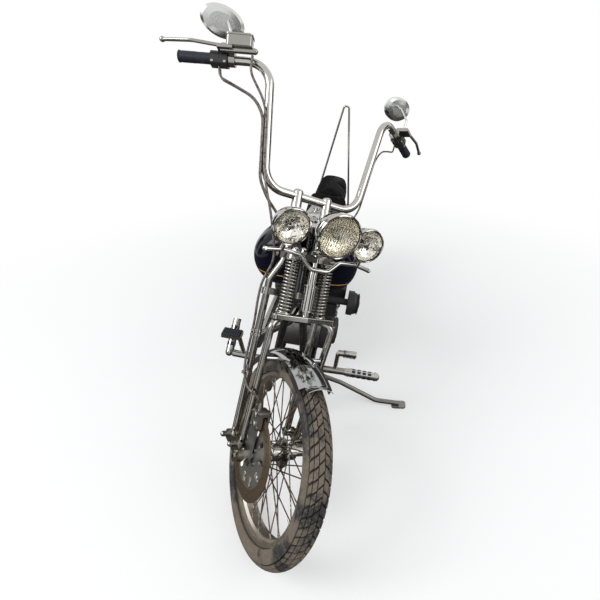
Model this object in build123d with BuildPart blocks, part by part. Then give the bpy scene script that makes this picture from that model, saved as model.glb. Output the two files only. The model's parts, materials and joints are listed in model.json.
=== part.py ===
"""Chopper motorcycle with a springer fork, parked on its side stand with the fork on its left stop.

Pieces are modelled on the upright machine and then parked. Lengths are in millimetres.
Bike frame: X forward, Y to the rider's left, Z up, origin on the ground under the rear axle.
Fork frame: X forward of the steering axis, Y left, Z up along the axis, origin level with the front axle.
Wheel frame: X forward, Y down, Z left along the axle, origin at the wheel's centre.
"""
import os
from collections import namedtuple
from math import atan, cos, degrees, radians, sin, sqrt, tan

from build123d import *

# Layout of the machine
WHEELBASE = 1640
RAKE = 32
AXLE_OFFSET = 72
STEER_STOP = 32
LEAN = 9.9
RUNNING_GAP = 0.05
SEAT_GAP = 0.3

# Wheels: lateral sizes are half widths or distances from the wheel's middle plane
class Wheel(namedtuple("Wheel", "rim wall crown rim_half rim_deep flange flange_at hub_core hub_left hub_right "
                                "axle spokes spoke cross disc disc_thick")):
    """Sizes of a wheel: its rim, the height of the tyre's wall above the rim, its hub, spokes and disc."""

    @property
    def tyre(self):
        return self.rim + self.wall


FRONT = Wheel(rim=278, wall=69, crown=46, rim_half=33, rim_deep=21, flange=50, flange_at=31, hub_core=27,
              hub_left=77, hub_right=81.5, axle=10, spokes=40, spoke=2.1, cross=54, disc=146, disc_thick=5)
REAR = Wheel(rim=219, wall=101, crown=65, rim_half=42, rim_deep=21, flange=54, flange_at=34, hub_core=32,
             hub_left=72, hub_right=75, axle=12.5, spokes=40, spoke=2.1, cross=48, disc=146, disc_thick=6)

# Tubes of the chassis
RAIL = 16
BACKBONE = 25
STAY = 13
NECK = 30
NECK_LOW = 572
NECK_HIGH = 688
STEM = 17

# Springer fork
LEG = 13
LEG_SIDE = 106
EYE = 17
EYE_OUT = LEG_SIDE + LEG + 1.2
ROCKER_THICK = 13
CLAMP_THICK = 22
CROWN_THICK = 24
CROWN_EYE = 19

# Handlebar
BAR = 16
BAR_SIDE = 200
RISER_SIDE = 64
BAR_LOW = 931
BAR_HIGH = 1375

BOTTOM = (Align.CENTER, Align.CENTER, Align.MIN)
SIDES = (1, -1)


def tube(points, radius, bend):
    """Add a round tube along straight runs joined by tangent bends."""
    with BuildLine(mode=Mode.PRIVATE) as run:
        FilletPolyline(*points, radius=bend)
    with BuildSketch(Plane(run.wire() @ 0, z_dir=run.wire() % 0), mode=Mode.PRIVATE) as section:
        Circle(radius)
    sweep(section.sketch, path=run.wire())


def cable(points, radius):
    """Add a cable whose bends are as large as its runs allow."""
    route = [Vector(*point) for point in points]
    bends = []
    for before, here, after in zip(route, route[1:], route[2:]):
        turn = radians((here - before).get_angle(after - here))
        bends.append(0.45 * min((here - before).length, (after - here).length) / tan(turn / 2))
    tube(route, radius, bends)


def rod(start, end, radius, mode=Mode.ADD):
    """Add or cut a round rod between two points."""
    along = Vector(*end) - Vector(*start)
    with Locations(Plane(start, z_dir=along)):
        Cylinder(radius, along.length, align=BOTTOM, mode=mode)


def plate(plane, discs, thick, mode=Mode.ADD):
    """Add or cut a flat plate whose outline is stretched round discs given as (x, y, radius)."""
    with BuildSketch(plane, mode=Mode.PRIVATE) as outline:
        for x, y, radius in discs:
            with Locations((x, y)):
                Circle(radius)
        make_hull()
    extrude(outline.sketch, amount=thick, mode=mode)


def run_at(start, end, height):
    """Point at a height on the straight run between two points."""
    share = (height - start[2]) / (end[2] - start[2])
    return tuple(low + share * (high - low) for low, high in zip(start, end))


def mirrored(point):
    """The same point on the other side of the machine."""
    x, y, z = point
    return (x, -y, z)


def clear(*pieces):
    """Cut away what other pieces already take up."""
    for piece in pieces:
        add(piece.part, mode=Mode.SUBTRACT)


# Places: the fork frame on the bike, the wheels, and the parked machine
rake_sin = sin(radians(RAKE))
rake_cos = cos(radians(RAKE))
STEER_FOOT = (WHEELBASE - AXLE_OFFSET * rake_cos, 0, FRONT.tyre - AXLE_OFFSET * rake_sin)
STRAIGHT = Plane(STEER_FOOT, x_dir=(rake_cos, 0, rake_sin), z_dir=(-rake_sin, 0, rake_cos)).location
FORK = STRAIGHT * Location((0, 0, 0), (0, 0, STEER_STOP))
FRONT_WHEEL = Plane((AXLE_OFFSET, 0, 0), x_dir=(rake_cos, 0, -rake_sin), z_dir=(0, 1, 0)).location
REAR_WHEEL = Plane((0, 0, REAR.tyre), x_dir=(1, 0, 0), z_dir=(0, 1, 0)).location


def lowest(place, wheel):
    """Height of the lowest point of a round-crowned tyre."""
    axle = Plane(place).z_dir
    return place.position.Z - (wheel.tyre - wheel.crown) * sqrt(1 - axle.Z**2) - wheel.crown


def parked():
    """Lean the machine and settle it until both tyres touch the ground."""
    lift = 0
    pitch = 0
    for _ in range(8):
        place = Location((0, 0, lift)) * Location((0, 0, 0), (0, pitch, 0)) * Location((0, 0, 0), (-LEAN, 0, 0))
        rear_low = lowest(place * REAR_WHEEL, REAR)
        front_low = lowest(place * FORK * FRONT_WHEEL, FRONT)
        lift -= rear_low
        pitch += degrees(atan((front_low - rear_low) / WHEELBASE))
    return place


PARK = parked()
GROUND = Plane(PARK.inverse())


def ground_height(x, y):
    """Height of the ground below or above a point of the upright machine."""
    normal = GROUND.z_dir
    base = GROUND.origin
    return base.Z - (normal.X * (x - base.X) + normal.Y * (y - base.Y)) / normal.Z


# Wheels


def make_tyre(size):
    with BuildPart() as tyre:
        with BuildSketch(Plane.XZ):
            with Locations((size.tyre - size.crown, 0)):
                Circle(size.crown)
            with Locations((size.rim + SEAT_GAP, 0)):
                Rectangle(2 * size.tyre, 4 * size.crown, align=(Align.MAX, Align.CENTER), mode=Mode.SUBTRACT)
        revolve(axis=Axis.Z)
    return tyre


def make_rim(size):
    lip = 3.5
    floor_half = size.rim_half * 0.32
    shelf = size.rim - 9
    well = size.rim - size.rim_deep + lip
    outer = [(size.rim, size.rim_half), (size.rim, size.rim_half - lip), (shelf, size.rim_half - 2 * lip),
             (shelf - 2, floor_half + 8), (well, floor_half)]
    inner = [(well - lip, floor_half + 1), (shelf - 2 - lip, floor_half + 9), (shelf - lip, size.rim_half - 1)]
    with BuildPart() as rim:
        with BuildSketch(Plane.XZ):
            with BuildLine():
                across = [(r, -z) for r, z in reversed(outer)]
                under = [(r, -z) for r, z in reversed(inner)]
                Polyline(*outer, *across, *under, *inner, close=True)
            make_face()
        revolve(axis=Axis.Z)
    return rim


def make_hub(size):
    flange_thick = 6
    rim_seat = size.rim - size.rim_deep - 2 * SEAT_GAP
    spoke_foot = size.flange - 6
    beside = flange_thick / 2 + size.spoke - 0.4
    with BuildPart() as hub:
        with BuildSketch(Plane.XZ):
            with BuildLine():
                ring = size.flange_at + flange_thick / 2
                web = size.flange_at - flange_thick / 2
                Polyline((0, size.hub_left), (size.hub_core, size.hub_left), (size.hub_core, ring),
                         (size.flange, ring), (size.flange, web), (size.hub_core, web - 8),
                         (size.hub_core, 8 - web), (size.flange, -web), (size.flange, -ring),
                         (size.hub_core, -ring), (size.hub_core, -size.hub_right), (0, -size.hub_right),
                         close=True)
            make_face()
        revolve(axis=Axis.Z)
        step = 360 / (size.spokes / 4)
        for side in SIDES:
            for lead in SIDES:
                turn = radians(size.cross * lead)
                foot = Vector(spoke_foot, 0, side * (size.flange_at + lead * beside))
                tip = Vector(rim_seat * cos(turn), rim_seat * sin(turn), side * (8 + lead * 4))
                first = step / 4 * (side + lead) + (step / 4 if side > 0 else 0)
                with PolarLocations(0, size.spokes // 4, start_angle=first):
                    with Locations(Plane(foot, z_dir=tip - foot)):
                        Cylinder(size.spoke, (tip - foot).length, align=BOTTOM)
        Cylinder(size.axle + RUNNING_GAP, 4 * size.hub_left, mode=Mode.SUBTRACT)
    return hub


def make_disc(size):
    """Brake disc with a slotted carrier, against the hub's end face."""
    slot_at = size.disc * 0.58
    with BuildPart() as disc:
        with BuildSketch(Plane.XY.offset(-size.hub_right - size.disc_thick)):
            Circle(size.disc)
            Circle(size.axle + 8, mode=Mode.SUBTRACT)
            with PolarLocations(slot_at, 10):
                SlotOverall(38, 20, rotation=0, mode=Mode.SUBTRACT)
            with PolarLocations(size.disc * 0.85, 20):
                Circle(4, mode=Mode.SUBTRACT)
        extrude(amount=size.disc_thick)
    return disc


front_tyre = make_tyre(FRONT)
front_rim = make_rim(FRONT)
front_hub = make_hub(FRONT)
front_disc = make_disc(FRONT)
rear_tyre = make_tyre(REAR)
rear_rim = make_rim(REAR)
rear_hub = make_hub(REAR)
rear_disc = make_disc(REAR)

# Belt drive on the left of the rear wheel
PULLEY = 140
BELT_THICK = 6
BELT_IN = REAR.hub_left + SEAT_GAP
BELT_WIDE = 22
DRIVER = 46
DRIVER_AT = (500, 332)

with BuildPart() as drive_pulley:
    with BuildSketch(Plane.XY.offset(BELT_IN - SEAT_GAP)):
        Circle(PULLEY)
        Circle(REAR.axle + 8, mode=Mode.SUBTRACT)
        with PolarLocations(PULLEY * 0.62, 5):
            Circle(PULLEY * 0.2, mode=Mode.SUBTRACT)
    extrude(amount=BELT_WIDE)

# Fenders: a crowned channel turned part of the way round the wheel's axle
FENDER_WALL = 3
FRONT_FENDER_GAP = 18
FRONT_FENDER_HALF = 62
FRONT_FENDER_CROWN = 20
FRONT_FENDER_SKIRT = 22
FRONT_FENDER_SPAN = (4, -72)
LIP_HALF = 46
LIP_ROLL = 34
LIP_TURN = 42
REAR_FENDER_GAP = 38
REAR_FENDER_HALF = 98
REAR_FENDER_SPAN = (50, -92)


def fender_plane(angle):
    """Plane across a fender at an angle from straight up, with Y pointing away from the axle."""
    turn = radians(angle)
    return Plane((0, 0, 0), x_dir=(0, 0, 1), z_dir=(cos(turn), sin(turn), 0))


def fender_section(inner, half, crown, skirt):
    """Draw a crowned channel of even wall."""
    shoulder = inner - crown
    hem = shoulder - skirt
    inside = half - FENDER_WALL
    with BuildLine(mode=Mode.PRIVATE) as outline:
        Line((-half, hem), (-half, shoulder))
        ThreePointArc((-half, shoulder), (0, inner + FENDER_WALL), (half, shoulder))
        Polyline((half, shoulder), (half, hem), (inside, hem), (inside, shoulder))
        ThreePointArc((inside, shoulder), (0, inner), (-inside, shoulder))
        Polyline((-inside, shoulder), (-inside, hem), (-half, hem))
    make_face(outline.edges())


def make_fender(size, gap, half, crown, skirt, span):
    """Fender over a span in degrees from straight up, forward counted positive."""
    front, rear = span
    with BuildPart() as fender:
        with BuildSketch(fender_plane(rear)):
            fender_section(size.tyre + gap, half, crown, skirt)
        revolve(axis=Axis.Z, revolution_arc=front - rear)
    return fender


front_fender_ring = make_fender(FRONT, FRONT_FENDER_GAP, FRONT_FENDER_HALF, FRONT_FENDER_CROWN, FRONT_FENDER_SKIRT,
                                FRONT_FENDER_SPAN)
rear_fender_ring = make_fender(REAR, REAR_FENDER_GAP, REAR_FENDER_HALF, 30, 28, REAR_FENDER_SPAN)

# Springer fork, in the fork frame
CROWN_LOW = NECK_LOW - SEAT_GAP - CROWN_THICK
CLAMP_LOW = NECK_HIGH + SEAT_GAP
CLAMP_TOP = CLAMP_LOW + CLAMP_THICK
RIGID_PIVOT = (-62, 25)
SPRING_PIVOT = (20, 20)
LEG_KNEE = (4, 116, 604)
LEG_TOP = (25, 84)
SPRING_SEAT = (78, 70)
SEAT_RADIUS = 30
SHOULDER = (114, 122)
DAMPER_AT = 112
BRIDGE_TOP = 492
BRIDGE_THICK = 18
BRIDGE_LOW = BRIDGE_TOP - BRIDGE_THICK
RISER_FOOT = 5
RIGID_FOOT = (RIGID_PIVOT[0], LEG_SIDE, RIGID_PIVOT[1])
SPRING_FOOT = (SPRING_PIVOT[0], LEG_SIDE, SPRING_PIVOT[1])
SHOULDER_TOP = (*SHOULDER, BRIDGE_LOW - 12)


def on_side(side, point):
    """A point given for the left side, on either side."""
    x, y, z = point
    return (x, side * y, z)


def leg_eye(pivot, side):
    """Add the eye at the foot of a fork leg."""
    x, z = pivot
    rod((x, side * (LEG_SIDE - LEG + 2), z), (x, side * EYE_OUT, z), EYE)


with BuildPart() as rigid_legs:
    leg_route = [RIGID_FOOT, LEG_KNEE, (*LEG_TOP, CLAMP_LOW - 8), (*LEG_TOP, CLAMP_TOP + 4)]
    for side in SIDES:
        tube([on_side(side, point) for point in leg_route], LEG, 60)
        leg_eye(RIGID_PIVOT, side)

with BuildPart() as spring_legs:
    shoulders = [(DAMPER_AT, 0, 22)]
    for side in SIDES:
        shoulders += [(SPRING_SEAT[0], side * SPRING_SEAT[1], SEAT_RADIUS),
                      (SHOULDER[0] - 6, side * (SHOULDER[1] - LEG), LEG + 3)]
    plate(Plane.XY.offset(BRIDGE_LOW), shoulders, BRIDGE_THICK)
    fillet(spring_legs.faces().sort_by(Axis.Z)[-1].edges(), 4)
    fork_leg = [SPRING_FOOT, SHOULDER_TOP, (*SPRING_SEAT, BRIDGE_TOP - BRIDGE_THICK / 2)]
    for side in SIDES:
        tube([on_side(side, point) for point in fork_leg], LEG, 34)
        leg_eye(SPRING_PIVOT, side)
        rod((SPRING_SEAT[0], side * SPRING_SEAT[1], BRIDGE_LOW),
            (SPRING_SEAT[0], side * SPRING_SEAT[1], CLAMP_LOW - SEAT_GAP), 7)

SPRING_WIRE = 4.4
SPRING_COIL = 22
SPRING_TURNS = 16
with BuildPart() as fork_springs:
    coil_height = CLAMP_LOW - BRIDGE_TOP - 2 * (SPRING_WIRE + SEAT_GAP)
    with BuildLine() as coil:
        Helix(pitch=coil_height / SPRING_TURNS, height=coil_height, radius=SPRING_COIL,
              center=(*SPRING_SEAT, BRIDGE_TOP + SPRING_WIRE + SEAT_GAP))
    with BuildSketch(Plane(coil.wire() @ 0, z_dir=coil.wire() % 0)):
        Circle(SPRING_WIRE)
    sweep(is_frenet=True)
    mirror(about=Plane.XZ)

# Steps of the damper from its foot up: height and radius
DAMPER_STEPS = ((20, 12), (88, 22), (7, 24), (60, 16))
with BuildPart() as damper:
    step_low = BRIDGE_TOP + SEAT_GAP
    for tall, radius in DAMPER_STEPS:
        rod((DAMPER_AT, 0, step_low), (DAMPER_AT, 0, step_low + tall), radius)
        step_low += tall
    rod((DAMPER_AT, 0, step_low), (DAMPER_AT, 0, CLAMP_LOW - SEAT_GAP), 10)

with BuildPart() as steering_stem:
    leg_x, leg_y, _ = run_at(RIGID_FOOT, LEG_KNEE, CROWN_LOW + CROWN_THICK / 2)
    plate(Plane.XY.offset(CROWN_LOW), [(0, 0, 27), (leg_x, leg_y, CROWN_EYE), (leg_x, -leg_y, CROWN_EYE)],
          CROWN_THICK)
    clamp = [(0, 0, NECK), (DAMPER_AT, 0, 16)]
    for side in SIDES:
        clamp += [(LEG_TOP[0], side * LEG_TOP[1], 18), (SPRING_SEAT[0], side * SPRING_SEAT[1], SEAT_RADIUS - 2),
                  (RISER_FOOT, side * RISER_SIDE, 22)]
    plate(Plane.XY.offset(CLAMP_LOW), clamp, CLAMP_THICK)
    rod((0, 0, CROWN_LOW), (0, 0, CLAMP_TOP + 14), STEM)
    clear(rigid_legs)

with BuildPart() as rockers:
    for side in SIDES:
        face = Plane((0, side * (EYE_OUT + SEAT_GAP), 0), x_dir=(1, 0, 0), z_dir=(0, side, 0))
        up = -side
        plate(face, [(RIGID_PIVOT[0], up * RIGID_PIVOT[1], EYE), (SPRING_PIVOT[0], up * SPRING_PIVOT[1], EYE),
                     (AXLE_OFFSET, 0, 20)], ROCKER_THICK)
        for x, z in (RIGID_PIVOT, SPRING_PIVOT):
            rod((x, side * (EYE_OUT + ROCKER_THICK), z), (x, side * (EYE_OUT + ROCKER_THICK + 12), z), 10)
    rod((AXLE_OFFSET, -200, 0), (AXLE_OFFSET, 200, 0), FRONT.axle + RUNNING_GAP, mode=Mode.SUBTRACT)

FRONT_AXLE_END = 152
AXLE_HOLE = 5
ROCKER_OUT = EYE_OUT + SEAT_GAP + ROCKER_THICK
with BuildPart() as front_axle:
    rod((AXLE_OFFSET, -FRONT_AXLE_END, 0), (AXLE_OFFSET, FRONT_AXLE_END, 0), FRONT.axle)
    disc_face = FRONT.hub_right + FRONT.disc_thick
    for low, high, radius in ((-FRONT_AXLE_END + 2, -ROCKER_OUT - SEAT_GAP, 17), (-EYE_OUT, -disc_face - 1, 17),
                              (FRONT.hub_left + 1, EYE_OUT, 17), (ROCKER_OUT + SEAT_GAP, FRONT_AXLE_END - 2, 17)):
        rod((AXLE_OFFSET, low, 0), (AXLE_OFFSET, high, 0), radius)
    rod((AXLE_OFFSET, -FRONT_AXLE_END, 0), (AXLE_OFFSET, FRONT_AXLE_END, 0), AXLE_HOLE, mode=Mode.SUBTRACT)

CALIPER_AT = (94, 128)
with BuildPart() as front_caliper:
    bracket_in = 96
    plate(Plane((0, -bracket_in, 0), x_dir=(1, 0, 0), z_dir=(0, -1, 0)),
          [(AXLE_OFFSET, 0, 26), (CALIPER_AT[0], CALIPER_AT[1], 20)], 8)
    with BuildSketch(Plane((CALIPER_AT[0], -68, CALIPER_AT[1]), x_dir=(1, 0, 0), z_dir=(0, -1, 0))):
        RectangleRounded(62, 66, 12)
    extrude(amount=40)
    rod((CALIPER_AT[0] - 1, -96, CALIPER_AT[1]), (CALIPER_AT[0] - 1, -96, CALIPER_AT[1] + 54), 8)
    disc_mid = FRONT.hub_right + FRONT.disc_thick / 2
    with Locations((AXLE_OFFSET, -disc_mid, 0)):
        Cylinder(FRONT.disc + 6, FRONT.disc_thick + 11, rotation=(90, 0, 0), mode=Mode.SUBTRACT)
    rod((AXLE_OFFSET, -120, 0), (AXLE_OFFSET, -90, 0), 17 + SEAT_GAP, mode=Mode.SUBTRACT)

FENDER_LUG = 9
with BuildPart() as front_fender:
    add(front_fender_ring.part.moved(FRONT_WHEEL))
    inner = FRONT.tyre + FRONT_FENDER_GAP
    edge = fender_plane(FRONT_FENDER_SPAN[0])
    with BuildSketch(edge, mode=Mode.PRIVATE) as lip:
        fender_section(inner, FRONT_FENDER_HALF, FRONT_FENDER_CROWN, 0.1)
        with Locations((0, inner)):
            Rectangle(2 * LIP_HALF, 2 * FRONT_FENDER_HALF, mode=Mode.INTERSECT)
    hinge = Axis(edge.from_local_coords((0, inner + LIP_ROLL, 0)), (0, 0, -1))
    add(Part(revolve(lip.sketch, axis=hinge, revolution_arc=LIP_TURN, mode=Mode.PRIVATE).wrapped).moved(FRONT_WHEEL))
    lug_up = inner - FRONT_FENDER_CROWN - FRONT_FENDER_SKIRT / 2
    lug_x, lug_y, _ = run_at(SPRING_FOOT, SHOULDER_TOP, lug_up)
    for side in SIDES:
        rod((lug_x, side * (FRONT_FENDER_HALF - FENDER_WALL / 2), lug_up), (lug_x, side * lug_y, lug_up), FENDER_LUG)
    clear(spring_legs)

# Lamps and their bar, in the fork frame
LAMP_TILT = 23
Lamp = namedtuple("Lamp", "ahead side up radius deep")
LAMPS = (Lamp(253, 0, 782, 82, 112), Lamp(200, 155, 783, 66, 84), Lamp(200, -155, 783, 66, 84))
lamp_dir = (cos(radians(LAMP_TILT)), 0, -sin(radians(LAMP_TILT)))


def lamp_plane(lamp):
    """Plane with X along the lamp's beam and Y across it, through the middle of its bezel."""
    return Plane((lamp.ahead, lamp.side, lamp.up), x_dir=lamp_dir, z_dir=(0, -1, 0))


LAMP_WALL = 4
LAMP_BOSS = 14
LENS_DOME = 13
with BuildPart() as lamp_shells:
    for lamp in LAMPS:
        face = lamp_plane(lamp)
        inner = lamp.radius - 2 * LAMP_WALL
        bowl = lamp.deep * 0.55
        with BuildSketch(face) as half_section:
            with BuildLine():
                Polyline((-bowl, 0), (-lamp.deep, 0), (-lamp.deep, LAMP_BOSS))
                ThreePointArc((-lamp.deep, LAMP_BOSS), (-lamp.deep * 0.62, lamp.radius * 0.80),
                              (-14, lamp.radius - LAMP_WALL))
                Polyline((-14, lamp.radius - LAMP_WALL), (-12, lamp.radius), (0, lamp.radius), (0, inner),
                         (-LAMP_WALL, inner))
                ThreePointArc((-LAMP_WALL, inner), (-bowl * 0.72, inner * 0.6), (-bowl, LAMP_BOSS))
                Line((-bowl, LAMP_BOSS), (-bowl, 0))
            make_face()
        revolve(axis=Axis(face.origin, face.x_dir))

with BuildPart() as lamp_lenses:
    for lamp in LAMPS:
        face = lamp_plane(lamp)
        edge = lamp.radius - 2 * LAMP_WALL - SEAT_GAP
        with BuildSketch(face):
            with BuildLine():
                Polyline((LENS_DOME, 0), (0, 0), (0, edge), (3, edge))
                ThreePointArc((3, edge), (9, edge * 0.62), (LENS_DOME - 1, LAMP_BOSS))
                Line((LENS_DOME - 1, LAMP_BOSS), (LENS_DOME, 0))
            make_face()
        revolve(axis=Axis(face.origin, face.x_dir))

LIGHT_BAR = 8
BAR_AHEAD = 146
SPOT_SIDE = LAMPS[1].side
with BuildPart() as light_bar:
    moustache = [(BAR_AHEAD, 210, 700), (BAR_AHEAD, 150, 710), (BAR_AHEAD, 80, 704), (BAR_AHEAD, 36, 662)]
    tube(moustache + [mirrored(point) for point in reversed(moustache)], LIGHT_BAR, 30)
    for side in SIDES:
        rod((SPRING_SEAT[0] + 20, side * SPRING_SEAT[1], 701), (BAR_AHEAD, side * SPRING_SEAT[1], 698), LIGHT_BAR - 1)
        rod((BAR_AHEAD, side * SPOT_SIDE, 709), (164, side * SPOT_SIDE, 736), 9)
    bracket_up = CLAMP_TOP + 13
    rod((DAMPER_AT - 10, 0, bracket_up), (LAMPS[0].ahead - 61, 0, bracket_up), 12)
    rod((DAMPER_AT, 0, CLAMP_TOP + SEAT_GAP), (DAMPER_AT, 0, bracket_up), 10)
    clear(steering_stem, lamp_shells)

# Handlebar and its controls, in the fork frame; the left side is drawn and mirrored
BAR_BACK = -8
BAR_CORNER = (BAR_BACK, 268)
BAR_BEND = 85
GRIP_END = (-175, 545, 1333)
RISER = 20
RISER_CAP = 28
bar_route = [GRIP_END, (*BAR_CORNER, BAR_HIGH), (BAR_BACK, BAR_SIDE, BAR_LOW)]
with BuildPart() as handlebar:
    tube(bar_route + [mirrored(point) for point in reversed(bar_route)], BAR, BAR_BEND)

with BuildPart() as risers:
    for side in SIDES:
        foot = Vector(RISER_FOOT, side * RISER_SIDE, CLAMP_TOP + SEAT_GAP)
        top = Vector(BAR_BACK, side * RISER_SIDE, BAR_LOW)
        rod(foot, top + (top - foot).normalized() * RISER_CAP, RISER)
    fillet(risers.edges().sort_by(Axis.Z)[-2:], RISER * 0.7)
    rod((BAR_BACK, -BAR_SIDE, BAR_LOW), (BAR_BACK, BAR_SIDE, BAR_LOW), BAR + RUNNING_GAP, mode=Mode.SUBTRACT)
    clear(steering_stem)

inward = (Vector(*BAR_CORNER, BAR_HIGH) - Vector(*GRIP_END)).normalized()
HAND = Plane(GRIP_END, x_dir=(0, 0, 1), z_dir=inward)
RIGHT_HAND = Plane(mirrored(GRIP_END), x_dir=(0, 0, 1), z_dir=mirrored(tuple(inward)))
GRIP_LONG = 115
GRIP = 20
HOUSING_LONG = 60
PERCH_LONG = 24
LEVER = 6.5
LEVER_BALL = 10
RESERVOIR = (92, 44, 38)
RESERVOIR_FROM = GRIP_LONG + HOUSING_LONG
PISTON = 11
PISTON_AT = (17, 40)
with BuildPart() as grips:
    with BuildSketch(HAND.offset(SEAT_GAP)):
        Circle(GRIP)
        Circle(BAR + RUNNING_GAP, mode=Mode.SUBTRACT)
    extrude(amount=GRIP_LONG)
    mirror(about=Plane.XZ)


def in_hand(up, ahead, along, hand=HAND):
    """Point by a hand: above and ahead of the grip's axis, along it from the grip's outer end."""
    forward = -1 if hand is HAND else 1
    return hand.from_local_coords((up, forward * ahead, along))


with BuildPart() as hand_controls:
    housing = HAND.offset(GRIP_LONG + 2 * SEAT_GAP)
    with BuildSketch(housing):
        with Locations((-4, -5)):
            RectangleRounded(52, 54, 16)
    extrude(amount=HOUSING_LONG)
    with BuildSketch(housing.offset(HOUSING_LONG)):
        Circle(BAR + 9)
    extrude(amount=PERCH_LONG)
    with BuildSketch(housing.offset(HOUSING_LONG / 2)):
        with Locations((20, -36)):
            RectangleRounded(16, 56, 5)
    extrude(amount=HOUSING_LONG / 2 + PERCH_LONG)
    lever_tip = in_hand(31, 49, -44)
    tube([in_hand(22, 54, GRIP_LONG + HOUSING_LONG - 8), in_hand(28, 64, 60), lever_tip], LEVER, 90)
    with Locations(lever_tip):
        Sphere(LEVER_BALL)
    mirror(about=Plane.XZ)
    long, wide, tall = RESERVOIR
    base = in_hand(24, 44, RESERVOIR_FROM + long / 2, RIGHT_HAND)
    lid = Plane(base, x_dir=RIGHT_HAND.z_dir, z_dir=RIGHT_HAND.x_dir)
    with BuildSketch(lid):
        RectangleRounded(long, wide, 12)
    extrude(amount=tall)
    with BuildSketch(lid.offset(tall)):
        RectangleRounded(long + 4, wide + 4, 13)
    extrude(amount=6)
    piston_end = in_hand(*PISTON_AT, RESERVOIR_FROM + long + 8, RIGHT_HAND)
    rod(in_hand(*PISTON_AT, RESERVOIR_FROM - 20, RIGHT_HAND), piston_end, PISTON)
    with Locations(piston_end):
        Sphere(PISTON)
    for hand in (HAND, RIGHT_HAND):
        rod(in_hand(0, 0, 0, hand), in_hand(0, 0, GRIP_LONG + HOUSING_LONG + PERCH_LONG, hand), BAR + RUNNING_GAP,
            mode=Mode.SUBTRACT)
    clear(handlebar)

MIRROR_AT = (-165, 430, 1524)
MIRROR_HALF = (82, 56)
MIRROR_RIM = 10
MIRROR_DOME = 15
MIRROR_STEM = 5
with BuildPart() as mirrors:
    facing = Vector(rake_cos, 0.24, -rake_sin)
    back = Plane(MIRROR_AT, x_dir=(0, 1, 0), z_dir=facing)
    with BuildSketch(back):
        Ellipse(*MIRROR_HALF)
    extrude(amount=MIRROR_RIM)
    for step, share in ((0, 1), (0.7, 0.86), (1, 0.55)):
        with BuildSketch(back.offset(MIRROR_RIM + step * MIRROR_DOME)):
            Ellipse(MIRROR_HALF[0] * share, MIRROR_HALF[1] * share)
    loft(ruled=True)
    foot = in_hand(28, 40, GRIP_LONG + HOUSING_LONG + PERCH_LONG / 2)
    neck = back.from_local_coords((-20, 10, MIRROR_RIM + MIRROR_DOME + 26))
    tube([foot, foot + Vector(0, 4, 46), neck, back.from_local_coords((-20, 16, MIRROR_RIM))], MIRROR_STEM, 14)
    mirror(about=Plane.XZ)
    clear(hand_controls)

# Control cables and the front brake's hose, held along the bar and the right leg
CABLE = 3.5
HOSE = 4.5
CABLE_REST = BAR + CABLE + SEAT_GAP
HOSE_REST = BAR + HOSE + SEAT_GAP


def beside_bar(height, rest, turn):
    """Point beside the bar's upright at an angle from straight ahead towards the outside."""
    x, y, z = run_at((BAR_BACK, BAR_SIDE, BAR_LOW), (*BAR_CORNER, BAR_HIGH), height)
    return (x + rest * cos(radians(turn)), y + (rest + 0.4) * sin(radians(turn)), z)


Guide = namedtuple("Guide", "turn aside x y")
GUIDES = (Guide(100, 0, 24, 34), Guide(72, 10, 36, 30))


def cable_route(guide):
    """Route of a control cable on the left side, from its housing to a guide hole in the upper clamp."""
    fitting = in_hand(-30 - CABLE, 2 * guide.aside - 8, GRIP_LONG + HOUSING_LONG / 2)
    ahead = RISER_FOOT + RISER + CABLE + 6 + guide.aside
    return [fitting, fitting + Vector(6, -8, -36), (guide.aside - 66, 352, 1262), (guide.aside - 30, 296, 1236),
            beside_bar(1180, CABLE_REST, guide.turn), beside_bar(1010, CABLE_REST, guide.turn),
            (BAR_BACK - 4 + guide.aside, BAR_SIDE + 24, 954), (BAR_BACK + 8 + guide.aside, BAR_SIDE - 12, 890),
            (ahead, RISER_SIDE + 50, 806), (ahead + 2, RISER_SIDE, 764), (guide.x, guide.y, 738),
            (guide.x, guide.y, CLAMP_TOP + SEAT_GAP)]


with BuildPart() as control_cables:
    for guide in GUIDES:
        cable([mirrored(tuple(point)) for point in cable_route(guide)], CABLE)
    cable(cable_route(GUIDES[0]), CABLE)
    clear(steering_stem)

with BuildPart() as brake_hose:
    banjo = in_hand(PISTON_AT[0] - PISTON - HOSE, PISTON_AT[1], RESERVOIR_FROM + RESERVOIR[0])
    past_crown = LEG_KNEE[1] + CROWN_EYE + HOSE + 3
    leg_low = run_at(RIGID_FOOT, LEG_KNEE, 270)
    leg_mid = run_at(RIGID_FOOT, LEG_KNEE, 430)
    beside_leg = LEG + HOSE + 2
    hose = [banjo, banjo + Vector(4, -2, -60), beside_bar(1210, HOSE_REST, 38), beside_bar(1010, HOSE_REST, 38),
            (24, BAR_SIDE + 8, 930), (30, 168, 830), (26, 136, 735), (LEG_TOP[0] - 4, LEG_TOP[1] + 36, 670),
            (LEG_KNEE[0], past_crown, LEG_KNEE[2] - 10), (LEG_KNEE[0] - 8, past_crown, CROWN_LOW - 16),
            (leg_mid[0], leg_mid[1] + beside_leg, leg_mid[2]), (leg_low[0], leg_low[1] + beside_leg + 3, leg_low[2]),
            (60, LEG_SIDE + 37, 224), (CALIPER_AT[0], LEG_SIDE + 14, 208), (CALIPER_AT[0] - 1, 96, CALIPER_AT[1] + 54)]
    cable([mirrored(tuple(point)) for point in hose], HOSE)
    clear(front_caliper)

# Chassis tubes, in the bike frame
RAIL_LOW = 150
RAIL_SIDE = 85
UPRIGHT_SIDE = 48
RAIL_FRONT = WHEELBASE - 475
UPRIGHT_FOOT = (400, 205)
UPRIGHT_TOP = (500, 600)
BACKBONE_END = (600, 655)
BACKBONE_KINK = (720, 702)


def on_axis(along, ahead=0, side=0):
    """Point of the straight fork frame, in the bike frame."""
    return (STRAIGHT * Location((ahead, side, along))).position


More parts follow.
